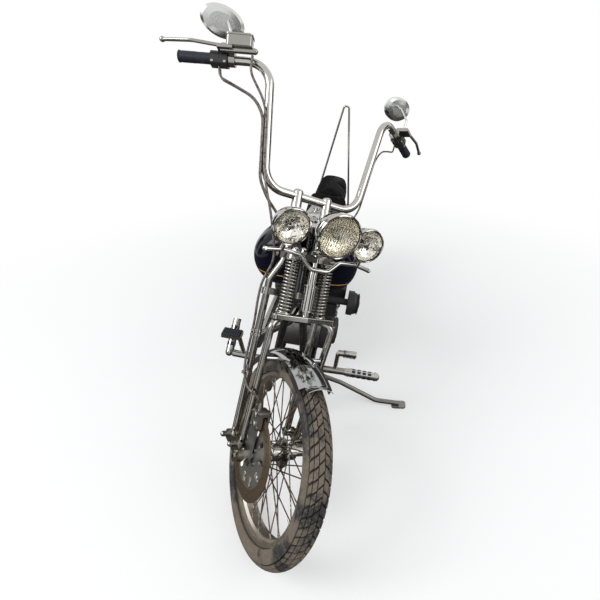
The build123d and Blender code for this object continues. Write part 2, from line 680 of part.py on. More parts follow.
RAIL_TOP = tuple(on_axis(NECK_LOW + 60, -24, 14))
RAIL_FOOT = (RAIL_FRONT, RAIL_SIDE, RAIL_LOW)

with BuildPart() as backbone:
    neck_mid = on_axis((NECK_LOW + NECK_HIGH) / 2)
    rod(on_axis(NECK_LOW), on_axis(NECK_HIGH), NECK)
    tube([neck_mid, (BACKBONE_KINK[0], 0, BACKBONE_KINK[1]), (BACKBONE_END[0], 0, BACKBONE_END[1])], BACKBONE, 80)
    rod(on_axis(NECK_LOW - 20), on_axis(NECK_HIGH + 20), STEM + RUNNING_GAP, mode=Mode.SUBTRACT)

with BuildPart() as frame_rails:
    for side in SIDES:
        tube([on_side(side, RAIL_TOP), on_side(side, RAIL_FOOT),
              (470, side * RAIL_SIDE, RAIL_LOW), (UPRIGHT_FOOT[0], side * UPRIGHT_SIDE, UPRIGHT_FOOT[1]),
              (UPRIGHT_TOP[0], side * UPRIGHT_SIDE, UPRIGHT_TOP[1]),
              (BACKBONE_END[0] + 4, side * 12, BACKBONE_END[1])], RAIL, 34)
    clear(backbone)
    rod(on_axis(NECK_LOW - 20), on_axis(NECK_HIGH + 20), NECK, mode=Mode.SUBTRACT)
    split(bisect_by=Plane.XZ, keep=Keep.BOTH)

# Rear axle, stays and their axle plates
REAR_AXLE_END = 138
REAR_AXLE_HOLE = 7
PLATE_IN = 106
PLATE_THICK = 10
STAY_SIDE = 113
PIVOT_AT = (383, 290)
BELT_OUT = BELT_IN + BELT_WIDE

with BuildPart() as lower_stays:
    rod((PIVOT_AT[0], -STAY_SIDE, PIVOT_AT[1]), (PIVOT_AT[0], STAY_SIDE, PIVOT_AT[1]), RAIL)
    for side in SIDES:
        rod((PIVOT_AT[0], side * STAY_SIDE, PIVOT_AT[1]), (24, side * STAY_SIDE, REAR.tyre - 4), STAY)
        plate(Plane((0, side * PLATE_IN, 0), x_dir=(1, 0, 0), z_dir=(0, side, 0)),
              [(0, -side * REAR.tyre, 34), (64, -side * (REAR.tyre - 8), 16)], PLATE_THICK)
    rod((0, -200, REAR.tyre), (0, 200, REAR.tyre), REAR.axle + RUNNING_GAP, mode=Mode.SUBTRACT)
    clear(frame_rails)

with BuildPart() as upper_stays:
    for side in SIDES:
        tube([(6, side * STAY_SIDE, REAR.tyre + 20), (300, side * STAY_SIDE, 520),
              (UPRIGHT_TOP[0] - 12, side * (UPRIGHT_SIDE + 4), UPRIGHT_TOP[1] - 20)], STAY, 60)
    clear(lower_stays, frame_rails)

with BuildPart() as rear_axle:
    rod((0, -REAR_AXLE_END, REAR.tyre), (0, REAR_AXLE_END, REAR.tyre), REAR.axle)
    disc_face = REAR.hub_right + REAR.disc_thick
    plate_out = PLATE_IN + PLATE_THICK
    for low, high in ((-REAR_AXLE_END + 2, -plate_out - SEAT_GAP), (-PLATE_IN + SEAT_GAP, -disc_face - 1),
                      (BELT_OUT + 1, PLATE_IN - SEAT_GAP), (plate_out + SEAT_GAP, REAR_AXLE_END - 2)):
        rod((0, low, REAR.tyre), (0, high, REAR.tyre), 19)
    rod((0, -REAR_AXLE_END, REAR.tyre), (0, REAR_AXLE_END, REAR.tyre), REAR_AXLE_HOLE, mode=Mode.SUBTRACT)
    clear(upper_stays)

with BuildPart() as rear_caliper:
    disc_mid = REAR.hub_right + REAR.disc_thick / 2
    with Locations((40, -disc_mid - 4, REAR.tyre + 118)):
        Box(90, 38, 54)
    plate(Plane((0, -PLATE_IN + SEAT_GAP, 0), x_dir=(1, 0, 0), z_dir=(0, 1, 0)),
          [(0, -REAR.tyre, 34), (40, -(REAR.tyre + 118), 24)], 8)
    with Locations((0, -disc_mid, REAR.tyre)):
        Cylinder(REAR.disc + 6, REAR.disc_thick + 11, rotation=(90, 0, 0), mode=Mode.SUBTRACT)
    rod((0, -PLATE_IN - 2, REAR.tyre), (0, -disc_mid, REAR.tyre), 19 + SEAT_GAP, mode=Mode.SUBTRACT)
    clear(lower_stays, upper_stays)

with BuildPart() as drive_belt:
    loop = Plane((0, BELT_IN, 0), x_dir=(1, 0, 0), z_dir=(0, -1, 0))
    wide = -BELT_WIDE
    pulleys = [(0, REAR.tyre, PULLEY + 0.5), (*DRIVER_AT, DRIVER)]
    plate(loop, [(x, z, radius + BELT_THICK) for x, z, radius in pulleys], wide)
    plate(loop, pulleys, wide, mode=Mode.SUBTRACT)

# Engine: crankcase, two finned cylinders in a V, rocker covers, gearbox and primary drive
CRANK = (800, 285)
V_HALF = 22.5
CASE = 110
CASE_RIGHT = 72
CASE_LEFT = 103
CAM_COVER = 24
DECK = 148
BORE_WALL = 50
FIN = 72
FIN_PITCH = 10
FIN_THICK = 4
FIRST_FIN = 180
HEAD_TOP = 326
COVER_TALL = 40


def cylinder_plane(tilt, along):
    """Plane across a cylinder's axis, at a distance from the crank."""
    axis = Vector(sin(radians(tilt)), 0, cos(radians(tilt)))
    return Plane(Vector(CRANK[0], 0, CRANK[1]) + axis * along, x_dir=(0, 1, 0), z_dir=axis)


with BuildPart() as crankcase:
    with BuildSketch(Plane.XZ.offset(-CASE_LEFT)):
        with Locations(CRANK):
            Circle(CASE)
    extrude(amount=CASE_LEFT + CASE_RIGHT)
    for tilt in (V_HALF, -V_HALF):
        with BuildSketch(cylinder_plane(tilt, 0)):
            Rectangle(112, 108)
        extrude(amount=DECK)
    cams = [(CRANK[0] + 40, CRANK[1] + 20, 74), (CRANK[0] - 40, CRANK[1] + 20, 74)]
    plate(Plane.XZ.offset(CASE_RIGHT), cams, CAM_COVER)

with BuildPart() as cylinders:
    for tilt in (V_HALF, -V_HALF):
        base = cylinder_plane(tilt, 0)
        comb = [(0, DECK + SEAT_GAP), (BORE_WALL, DECK + SEAT_GAP)]
        along = FIRST_FIN
        while along + FIN_THICK < HEAD_TOP - FIN_PITCH:
            comb += [(BORE_WALL, along), (FIN, along), (FIN, along + FIN_THICK), (BORE_WALL, along + FIN_THICK)]
            along += FIN_PITCH
        comb += [(BORE_WALL, HEAD_TOP), (0, HEAD_TOP)]
        with BuildSketch(Plane(base.origin, x_dir=base.x_dir, z_dir=base.y_dir)) as fins:
            with BuildLine():
                Polyline(*[(r, -h) for r, h in comb], close=True)
            make_face()
        revolve(axis=Axis(base.origin, base.z_dir))

COVER = (158, 96)
PUSHROD = 9
PUSHROD_OUT = FIN + PUSHROD + 3
with BuildPart() as rocker_covers:
    for tilt in (V_HALF, -V_HALF):
        with BuildSketch(cylinder_plane(tilt, HEAD_TOP + SEAT_GAP)):
            with Locations((FIN - 8 - COVER[0] / 2, 0)):
                RectangleRounded(*COVER, 22)
        extrude(amount=COVER_TALL, taper=6)

with BuildPart() as pushrod_tubes:
    for tilt in (V_HALF, -V_HALF):
        base = cylinder_plane(tilt, 0)
        for beside in (-15, 15):
            rod(base.from_local_coords((-PUSHROD_OUT, beside, 60)),
                base.from_local_coords((-PUSHROD_OUT, beside, HEAD_TOP)), PUSHROD)
    clear(crankcase)

with BuildPart() as gearbox:
    plate(Plane.XZ.offset(-66), [(DRIVER_AT[0] + 20, DRIVER_AT[1], 72), (DRIVER_AT[0] + 80, DRIVER_AT[1] + 20, 60),
                                 (DRIVER_AT[0] + 60, DRIVER_AT[1] - 60, 50)], 132)
    rod((DRIVER_AT[0], 66, DRIVER_AT[1]), (DRIVER_AT[0], CASE_LEFT - SEAT_GAP, DRIVER_AT[1]), DRIVER - SEAT_GAP)
    clear(crankcase, frame_rails)

PRIMARY_THICK = 64
with BuildPart() as primary_cover:
    plate(Plane.XZ.offset(-CASE_LEFT - PRIMARY_THICK), [(*CRANK, 104), (DRIVER_AT[0] + 20, DRIVER_AT[1] - 12, 96)],
          PRIMARY_THICK - SEAT_GAP)
    fillet(primary_cover.faces().sort_by(Axis.Y)[-1].edges(), 18)

OIL_BACK = REAR.tyre + 4
OIL_FRONT = 470
with BuildPart() as oil_tank:
    with Locations(((OIL_BACK + OIL_FRONT) / 2, 0, 520)):
        Box(OIL_FRONT - OIL_BACK, 112, 160)
    fillet(oil_tank.edges(), 20)
    clear(frame_rails, upper_stays)

AIR_AT = (800, 574)
with BuildPart() as air_cleaner:
    rod((AIR_AT[0] - 60, 0, AIR_AT[1] - 10), (AIR_AT[0] + 60, 0, AIR_AT[1] - 10), 17)
    rod((AIR_AT[0], 0, AIR_AT[1]), (AIR_AT[0], -100, AIR_AT[1]), 24)
    rod((AIR_AT[0], -100, AIR_AT[1]), (AIR_AT[0], -152, AIR_AT[1]), 88)
    fillet(air_cleaner.faces().sort_by(Axis.Y)[0].edges(), 14)
    for tilt in (V_HALF, -V_HALF):
        rod(cylinder_plane(tilt, 0).origin, cylinder_plane(tilt, HEAD_TOP).origin, FIN + SEAT_GAP, mode=Mode.SUBTRACT)

PIPE = 20
MUFFLER = 41
PIPE_SIDE = -188
PORT = 300
FRONT_PIPE_LOW = 255
REAR_PIPE_LOW = 378
with BuildPart() as exhaust_pipes:
    front_port = cylinder_plane(V_HALF, PORT).from_local_coords((0, -FIN - SEAT_GAP, 0))
    rear_port = cylinder_plane(-V_HALF, PORT).from_local_coords((0, FIN + SEAT_GAP, 0))
    tube([front_port, (1062, -24, 506), (1062, PIPE_SIDE + 20, 380), (985, PIPE_SIDE, FRONT_PIPE_LOW),
          (470, PIPE_SIDE, FRONT_PIPE_LOW)], PIPE, 48)
    tube([rear_port, (566, -30, 518), (548, -150, 480), (470, PIPE_SIDE, REAR_PIPE_LOW),
          (290, PIPE_SIDE, REAR_PIPE_LOW)], PIPE, 34)
    clear(cylinders)

MUFFLER_ENDS = ((470, -190, FRONT_PIPE_LOW), (290, -270, REAR_PIPE_LOW))
with BuildPart() as mufflers:
    for front, rear, height in MUFFLER_ENDS:
        with BuildSketch(Plane((front - SEAT_GAP, PIPE_SIDE, height), x_dir=(0, 1, 0), z_dir=(-1, 0, 0))):
            Circle(PIPE + 2)
        with BuildSketch(Plane((front - 90, PIPE_SIDE, height), x_dir=(0, 1, 0), z_dir=(-1, 0, 0))):
            Circle(MUFFLER)
        loft()
        rod((front - 90, PIPE_SIDE, height), (rear, PIPE_SIDE, height), MUFFLER)
        rod((rear - 1, PIPE_SIDE, height), (rear + 60, PIPE_SIDE, height), MUFFLER - 10, mode=Mode.SUBTRACT)

# Fuel tank in two halves, with the dash console between them
SEAT_FRONT = 632
TANK_REAR = SEAT_FRONT + 8
TANK_NOSE = on_axis(NECK_LOW).X - 138
TANK_GAP = BACKBONE + SEAT_GAP
TankRib = namedtuple("TankRib", "share low high half")
TANK_RIBS = (TankRib(0, 716, 775, 105), TankRib(0.2, 702, 845, 165), TankRib(0.48, 692, 905, 205),
             TankRib(0.77, 697, 935, 222), TankRib(0.93, 725, 915, 205), TankRib(1, 785, 878, 150))


def tank_x(share):
    """Place along the tank, from its rear to its nose."""
    return TANK_REAR + share * (TANK_NOSE - TANK_REAR)


with BuildPart() as fuel_tank:
    for rib in TANK_RIBS:
        with BuildSketch(Plane((tank_x(rib.share), 0, 0), x_dir=(0, 1, 0), z_dir=(1, 0, 0))):
            with BuildLine():
                Line((TANK_GAP, rib.low), (TANK_GAP, rib.high))
                ThreePointArc((TANK_GAP, rib.high), (rib.half, (rib.low + rib.high) / 2), (TANK_GAP, rib.low))
            make_face()
    loft()
    mirror(about=Plane.XZ)

DASH_LOW = 860
DASH_CROWN = 200
with BuildPart() as dash_console:
    plate(Plane.XY.offset(DASH_LOW), [(tank_x(0.32), 0, 30), (tank_x(0.72), 0, 52)], 110)
    clear(fuel_tank)
    rod((tank_x(0.25), 0, DASH_LOW - 60), (tank_x(0.95), 0, DASH_LOW - 60), DASH_CROWN, mode=Mode.INTERSECT)

# Seats, rear fender and what it carries
with BuildPart() as rear_fender:
    add(rear_fender_ring.part.moved(REAR_WHEEL))

FENDER_TOP = REAR.tyre + REAR_FENDER_GAP + FENDER_WALL
PILLION = (205, -125)
PILLION_TALL = 169
PILLION_HIGH = REAR.tyre + FENDER_TOP + PILLION_TALL
SEAT_HALF = 130
with BuildPart() as pillion_seat:
    seat_low = [REAR.tyre + sqrt((FENDER_TOP + SEAT_GAP) ** 2 - x**2) for x in PILLION]
    with BuildSketch(Plane.XZ):
        with BuildLine():
            Polyline((PILLION[0], seat_low[0]), (PILLION[0], PILLION_HIGH - 12), (PILLION[1], PILLION_HIGH),
                     (PILLION[1], seat_low[1]))
            ThreePointArc((PILLION[1], seat_low[1]), (0, REAR.tyre + FENDER_TOP + SEAT_GAP),
                          (PILLION[0], seat_low[0]))
        make_face()
    extrude(amount=REAR_FENDER_HALF - 4, both=True)
    fillet(pillion_seat.edges().filter_by(Axis.Y).sort_by(Axis.Z)[-2:], 28)
    clear(rear_fender)

RIDER_RISE = 66.5
RIDER_LOW = seat_low[0] + RIDER_RISE
with BuildPart() as rider_seat:
    seat_back = PILLION[0] + SEAT_GAP
    front_top = (SEAT_FRONT, RIDER_LOW + 46)
    rear_top = (seat_back, RIDER_LOW + 158)
    with BuildSketch(Plane.XZ):
        with BuildLine():
            Line((SEAT_FRONT, RIDER_LOW), front_top)
            ThreePointArc(front_top, (SEAT_FRONT - 202, RIDER_LOW + 58), rear_top)
            Polyline(rear_top, (seat_back, RIDER_LOW), (SEAT_FRONT, RIDER_LOW))
        make_face()
    extrude(amount=SEAT_HALF, both=True)
    clear(backbone)

STRUT_IN = REAR_FENDER_HALF + SEAT_GAP
STRUT_THICK = 8
STRUT_Z = 606
STRUT_HOLE = 5.25
STRUT_HOLE_X = 60
BOSS = 14
BOSS_TALL = 4
with BuildPart() as fender_struts:
    for side in SIDES:
        plate(Plane((0, side * STRUT_IN, 0), x_dir=(1, 0, 0), z_dir=(0, side, 0)),
              [(484, -side * STRUT_Z, 16), (-200, -side * STRUT_Z, 20)], STRUT_THICK)
        rod((484, side * (UPRIGHT_SIDE + 4), STRUT_Z), (484, side * STRUT_IN, STRUT_Z), 12)
        boss_out = STRUT_IN + STRUT_THICK + BOSS_TALL
        rod((STRUT_HOLE_X, side * STRUT_IN, STRUT_Z), (STRUT_HOLE_X, side * boss_out, STRUT_Z), BOSS)
        rod((STRUT_HOLE_X, side * STRUT_IN, STRUT_Z), (STRUT_HOLE_X, side * boss_out, STRUT_Z), STRUT_HOLE,
            mode=Mode.SUBTRACT)
    clear(frame_rails, upper_stays)

SISSY = 6.5
SISSY_TOP = 1276
SISSY_X = -190
with BuildPart() as sissy_bar:
    side_at = STRUT_IN + STRUT_THICK + SEAT_GAP + SISSY
    left = [(SISSY_X, side_at, STRUT_Z - 50), (SISSY_X, side_at, STRUT_Z + 30), (SISSY_X, 15, SISSY_TOP)]
    tube(left + [mirrored(point) for point in reversed(left)], SISSY, 11)

with BuildPart() as tail_lamp:
    turn = radians(-66)
    out = Vector(sin(turn), 0, cos(turn))
    base = Vector(0, 0, REAR.tyre) + out * (FENDER_TOP - 1.5)
    with BuildSketch(Plane(base, x_dir=(0, 1, 0), z_dir=out)):
        Circle(36)
    extrude(amount=50, taper=8)
    clear(rear_fender)

HORN_AT = (930, 560)
HORN_IN = 210
HORN = 58
with BuildPart() as horn:
    rod((HORN_AT[0], FIN - 12, HORN_AT[1]), (HORN_AT[0], HORN_IN, HORN_AT[1]), 16)
    rod((HORN_AT[0], HORN_IN, HORN_AT[1]), (HORN_AT[0], HORN_IN + 28, HORN_AT[1]), HORN)
    rod((HORN_AT[0], HORN_IN, HORN_AT[1]), (HORN_AT[0], HORN_IN + 50, HORN_AT[1]), HORN - 6)
    fillet(horn.faces().sort_by(Axis.Y)[-1].edges(), 20)
    clear(cylinders)

# Forward foot controls
PEG_UP = 362
DOWN_TUBE = run_at(RAIL_TOP, RAIL_FOOT, PEG_UP)
PEG_AT = (DOWN_TUBE[0] + 2, PEG_UP)
PEG = 17
PEG_IN = 250
PEG_LONG = 150
CONTROL_BAR = 15
with BuildPart() as control_brackets:
    for side in SIDES:
        rod((PEG_AT[0] + 8, side * DOWN_TUBE[1], PEG_AT[1]), (PEG_AT[0], side * (PEG_IN - SEAT_GAP), PEG_AT[1]),
            CONTROL_BAR)
    clear(frame_rails)

with BuildPart() as footpegs:
    rod((PEG_AT[0], PEG_IN, PEG_AT[1]), (PEG_AT[0], PEG_IN + PEG_LONG, PEG_AT[1]), PEG)
    folded = Vector(-0.68, 0, 0.73)
    hinge = Vector(PEG_AT[0], -PEG_IN - PEG, PEG_AT[1])
    rod(hinge, hinge + folded * PEG_LONG, PEG)
    with Locations(hinge):
        Sphere(PEG - SEAT_GAP)
    clear(control_brackets)

LEVER_Y = 205
SHIFT_TOP = (PEG_AT[0] + 46, LEVER_Y, PEG_AT[1] + 138)
BRAKE_TOP = (PEG_AT[0] + 14, -LEVER_Y - 20, PEG_AT[1] + 108)
with BuildPart() as foot_levers:
    lever_foot = PEG_AT[1] + CONTROL_BAR + SEAT_GAP
    rod((PEG_AT[0], LEVER_Y, lever_foot), SHIFT_TOP, 9)
    rod(SHIFT_TOP, (SHIFT_TOP[0], SHIFT_TOP[1] + 78, SHIFT_TOP[2] + 6), 13)
    rod((PEG_AT[0], -LEVER_Y, lever_foot), BRAKE_TOP, 9)
    with Locations((BRAKE_TOP[0], BRAKE_TOP[1] - 30, BRAKE_TOP[2] + 6)):
        Box(46, 84, 16)
    fillet(foot_levers.edges().filter_by(Axis.Z).group_by(Axis.Y)[0], 6)
    clear(control_brackets)

# Side stand with its bracket under the left rail
STAND_AT = (1000, 128)
STAND_PIN = 8
STAND_EYE = 16
STAND_TALL = 26
STAND_FOOT = (1071, 555)
STAND_LEG = 11
FOOT_THICK = 8
PLATE_TALL = 7
STAND_PLAY = 0.5
with BuildPart() as stand_bracket:
    half = STAND_TALL / 2 + STAND_PLAY
    for side in SIDES:
        level = RAIL_LOW + side * half
        plate(Plane.XY.offset(level - (PLATE_TALL if side < 0 else 0)),
              [(STAND_AT[0], STAND_AT[1], STAND_EYE), (STAND_AT[0] - 20, RAIL_SIDE + 8, 10),
               (STAND_AT[0] + 20, RAIL_SIDE + 8, 10)], PLATE_TALL)
    rod((STAND_AT[0], STAND_AT[1], RAIL_LOW - half), (STAND_AT[0], STAND_AT[1], RAIL_LOW + half), STAND_PIN)
    with Locations((STAND_AT[0], RAIL_SIDE + RAIL, RAIL_LOW)):
        Box(40, 6, 2 * half)
    clear(frame_rails)

with BuildPart() as side_stand:
    foot_top = ground_height(*STAND_FOOT) + STAND_LEG + 3
    rod((STAND_AT[0], STAND_AT[1], RAIL_LOW - STAND_TALL / 2), (STAND_AT[0], STAND_AT[1], RAIL_LOW + STAND_TALL / 2),
        STAND_EYE)
    tube([(STAND_AT[0], STAND_AT[1], RAIL_LOW), (STAND_AT[0] + 22, 250, RAIL_LOW - 8),
          (STAND_AT[0] + 58, 440, RAIL_LOW - 52), (*STAND_FOOT, foot_top)], STAND_LEG, 90)
    with BuildSketch(Plane((*STAND_FOOT, ground_height(*STAND_FOOT)), x_dir=(1, 0, 0), z_dir=GROUND.z_dir)):
        RectangleRounded(46, 70, 14)
    extrude(amount=FOOT_THICK)
    rod((STAND_AT[0], STAND_AT[1], 0), (STAND_AT[0], STAND_AT[1], 2 * RAIL_LOW), STAND_PIN + RUNNING_GAP,
        mode=Mode.SUBTRACT)
    with BuildSketch(GROUND):
        Rectangle(6000, 6000)
    extrude(amount=-200, mode=Mode.SUBTRACT)

# Parking the machine and writing the pieces
BODIES = {
    "frame": (Location(), dict(
        backbone=backbone, frame_rails=frame_rails, lower_stays=lower_stays, upper_stays=upper_stays,
        rear_axle=rear_axle, rear_caliper=rear_caliper, drive_belt=drive_belt, crankcase=crankcase,
        cylinders=cylinders, rocker_covers=rocker_covers, pushrod_tubes=pushrod_tubes, gearbox=gearbox,
        primary_cover=primary_cover, oil_tank=oil_tank, air_cleaner=air_cleaner, exhaust_pipes=exhaust_pipes,
        mufflers=mufflers, fuel_tank=fuel_tank, dash_console=dash_console, rear_fender=rear_fender, pillion_seat=pillion_seat,
        rider_seat=rider_seat, fender_struts=fender_struts, sissy_bar=sissy_bar, tail_lamp=tail_lamp, horn=horn,
        control_brackets=control_brackets, footpegs=footpegs, foot_levers=foot_levers,
        stand_bracket=stand_bracket)),
    "steering": (FORK, dict(
        steering_stem=steering_stem, rigid_legs=rigid_legs, spring_legs=spring_legs, fork_springs=fork_springs,
        damper=damper, rockers=rockers, front_axle=front_axle, front_caliper=front_caliper,
        front_fender=front_fender, lamp_shells=lamp_shells, lamp_lenses=lamp_lenses, light_bar=light_bar,
        handlebar=handlebar, risers=risers, grips=grips, hand_controls=hand_controls, mirrors=mirrors,
        control_cables=control_cables, brake_hose=brake_hose)),
    "front_wheel": (FORK * FRONT_WHEEL, dict(
        front_tyre=front_tyre, front_rim=front_rim, front_hub=front_hub, front_disc=front_disc)),
    "rear_wheel": (REAR_WHEEL, dict(
        rear_tyre=rear_tyre, rear_rim=rear_rim, rear_hub=rear_hub, rear_disc=rear_disc, drive_pulley=drive_pulley)),
    "side_stand": (Location(), dict(side_stand=side_stand)),
}

standing = [piece.part.moved(PARK * place) for place, pieces in BODIES.values() for piece in pieces.values()]
box = Compound(children=standing).bounding_box()
HOME = Location((-box.center().X, -box.center().Y, 0)) * PARK

os.makedirs("parts", exist_ok=True)
for body, (place, pieces) in BODIES.items():
    for node, piece in pieces.items():
        placed = piece.part.moved(HOME * place)
        placed.label = node
        export_step(placed, f"parts/{node}.step")
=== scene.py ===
"""Dress the chopper motorcycle: its finishes, tread, laced wheels, lamps, cushions and small trim.

Laid out as an add-on. Objects are in metres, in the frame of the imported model.
Places on the machine are written in millimetres, in the frames of the bike, the fork and the wheels.
"""
import json
from collections import namedtuple
from math import cos, exp, pi, radians, sin

import bmesh
import bpy
from bpy.props import FloatProperty, FloatVectorProperty, IntProperty, PointerProperty
from mathutils import Matrix, Vector
from mathutils.bvhtree import BVHTree


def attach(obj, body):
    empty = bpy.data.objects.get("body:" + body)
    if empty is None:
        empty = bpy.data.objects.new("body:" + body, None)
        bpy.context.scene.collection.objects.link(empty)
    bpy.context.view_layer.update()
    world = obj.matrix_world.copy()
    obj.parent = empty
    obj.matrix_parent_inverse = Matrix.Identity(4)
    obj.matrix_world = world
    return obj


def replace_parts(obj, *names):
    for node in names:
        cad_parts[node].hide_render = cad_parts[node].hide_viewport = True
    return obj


bl_info = {
    "name": "Chopper motorcycle",
    "version": (1, 0, 0),
    "blender": (4, 5, 0),
    "location": "View3D > Sidebar > Chopper",
    "description": "Dresses the packed chopper motorcycle with finishes, tread, lamps, cushions and trim",
    "category": "Object",
}

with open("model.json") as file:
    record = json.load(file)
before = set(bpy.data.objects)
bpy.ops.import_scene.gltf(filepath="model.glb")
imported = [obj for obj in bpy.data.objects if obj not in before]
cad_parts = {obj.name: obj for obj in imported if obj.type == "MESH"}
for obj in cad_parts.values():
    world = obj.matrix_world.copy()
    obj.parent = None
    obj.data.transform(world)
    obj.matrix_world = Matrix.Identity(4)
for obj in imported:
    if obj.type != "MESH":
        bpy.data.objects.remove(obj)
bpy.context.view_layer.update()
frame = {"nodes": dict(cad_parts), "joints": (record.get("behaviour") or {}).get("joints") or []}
JOINTS = {joint["name"]: joint for joint in frame["joints"]}
MM = 0.001
SIDES = (1, -1)


# Sizes and colours that a user would change


def length(name, description, default):
    """A length in metres on the panel."""
    return FloatProperty(name=name, description=description, default=default, min=0.0, unit="LENGTH",
                         subtype="DISTANCE", precision=4)


def repeats(name, description, default):
    """A number of repeats on the panel."""
    return IntProperty(name=name, description=description, default=default, min=30, max=110)


def colour(name, description, default):
    """A colour on the panel."""
    return FloatVectorProperty(name=name, description=description, default=default, size=3, min=0.0, max=1.0,
                               subtype="COLOR")


class ChopperSizes(bpy.types.PropertyGroup):
    """Sizes of the added pieces"""
    tread_deep: length("Tread depth", "Depth of the grooves between the tread blocks", 0.0068)
    front_pitches: repeats("Front tread pitches", "Repeats of the pattern round the front tyre", 64)
    rear_pitches: repeats("Rear tread pitches", "Repeats of the pattern round the rear tyre", 52)
    bolt: length("Bolt head", "Radius of the common bolt heads", 0.0052)
    piping: length("Piping", "Radius of the piping round the cushions", 0.0032)
    stitch: length("Stitch", "Length of a stitch beside the piping", 0.0055)
    voxel: length("Cushion voxel", "Grid of the cushions before they are filled", 0.0055)
    swell: length("Cushion swell", "Furthest that the filling pushes the leather", 0.012)
    flute: length("Lens flute", "Width of a flute in the headlamp's glass", 0.0085)


class ChopperColours(bpy.types.PropertyGroup):
    """Colours of the finishes"""
    chrome: colour("Chrome", "Plated metal", (0.48, 0.47, 0.44))
    aged_chrome: colour("Aged chrome", "Dulled plating", (0.34, 0.33, 0.305))
    paint: colour("Tank paint", "Gloss paint of the tank", (0.003, 0.0042, 0.011))
    stripe: colour("Pinstripe", "Thin line along the tank", (0.55, 0.27, 0.05))
    frame: colour("Frame paint", "Gloss paint of the frame", (0.009, 0.009, 0.01))
    engine: colour("Engine black", "Satin paint of the engine", (0.02, 0.02, 0.021))
    alloy: colour("Alloy", "Cast and machined aluminium", (0.3, 0.3, 0.29))
    rubber: colour("Tyre rubber", "Rubber under its dust", (0.028, 0.028, 0.03))
    grip: colour("Grip rubber", "Grips, pedals and cables", (0.008, 0.01, 0.022))
    leather: colour("Leather", "Cushions of the seats", (0.0035, 0.0036, 0.0038))
    rust: colour("Rust", "Brown pits and spokes", (0.085, 0.043, 0.024))
    dust: colour("Dust", "Road dust on rubber and paint", (0.3, 0.24, 0.175))


# Places: frames of the bike, the fork and the two wheels, read from the joints


def joint_axis(name):
    """Direction of a joint's axis."""
    return Vector(JOINTS[name]["axis"]).normalized()


def joint_place(name):
    """Point on a joint's axis."""
    return Vector(JOINTS[name]["pos_m"])


def frame_at(origin, ahead, left, up):
    """Matrix of a right-handed frame whose X, Y and Z point along the three directions."""
    return Matrix.Translation(origin) @ Matrix((ahead, left, up)).transposed().to_4x4()


def axle_frame(joint, up):
    """Frame of a wheel: X forward, Y down, Z left along the axle."""
    left = joint_axis(joint)
    ahead = left.cross(up).normalized()
    return frame_at(joint_place(joint), ahead, left.cross(ahead), left)


REAR_RADIUS = 0.320
BIKE_UP = joint_axis("side_stand_fold")
BIKE_LEFT = joint_axis("rear_wheel_spin")
FORK_UP = -joint_axis("steering")
FORK_LEFT = joint_axis("front_wheel_spin")
BIKE = frame_at(joint_place("rear_wheel_spin"), BIKE_LEFT.cross(BIKE_UP), BIKE_LEFT, BIKE_UP)
FORK = frame_at(joint_place("steering"), FORK_LEFT.cross(FORK_UP), FORK_LEFT, FORK_UP)
RAKE = FORK_UP.angle(BIKE_UP)
FRONT_WHEEL = axle_frame("front_wheel_spin", FORK.to_3x3() @ Vector((sin(RAKE), 0, cos(RAKE))))
REAR_WHEEL = axle_frame("rear_wheel_spin", BIKE_UP)
GROUNDED = BIKE @ Matrix.Translation((0, 0, -REAR_RADIUS))


def at(place, x, y, z):
    """Point of a frame, given in millimetres."""
    return place @ (Vector((x, y, z)) * MM)


def along(place, x, y, z):
    """Direction of a frame."""
    return (place.to_3x3() @ Vector((x, y, z))).normalized()


def axis_frame(origin, direction):
    """Frame whose Z points along a direction."""
    return Matrix.Translation(origin) @ direction.to_track_quat("Z", "Y").to_matrix().to_4x4()


GRIP_END = (-175, 545, 1333)
BAR_CORNER = (-8, 268, 1375)


class Hand:
    """Places by a hand's grip: above it, ahead of it, and along it from its outer end."""

    def __init__(self, side):
        x, y, z = GRIP_END
        self.end = at(FORK, x, side * y, z)
        corner = at(FORK, BAR_CORNER[0], side * BAR_CORNER[1], BAR_CORNER[2])
        self.inward = (corner - self.end).normalized()
        lift = along(FORK, 0, 0, 1)
        self.up = (lift - self.inward * lift.dot(self.inward)).normalized()
        self.ahead = self.inward.cross(self.up) * -side
        self.place = frame_at(self.end, self.up, self.inward.cross(self.up), self.inward)

    def spot(self, up, ahead, inward):
        """Point by the grip, given in millimetres."""
        return self.end + (self.up * up + self.ahead * ahead + self.inward * inward) * MM


# Node trees: short calls that build shader and geometry nodes


# Sockets of the Mix node that take and give colours
MIX_UNDER = 6
MIX_OVER = 7
MIX_RESULT = 2


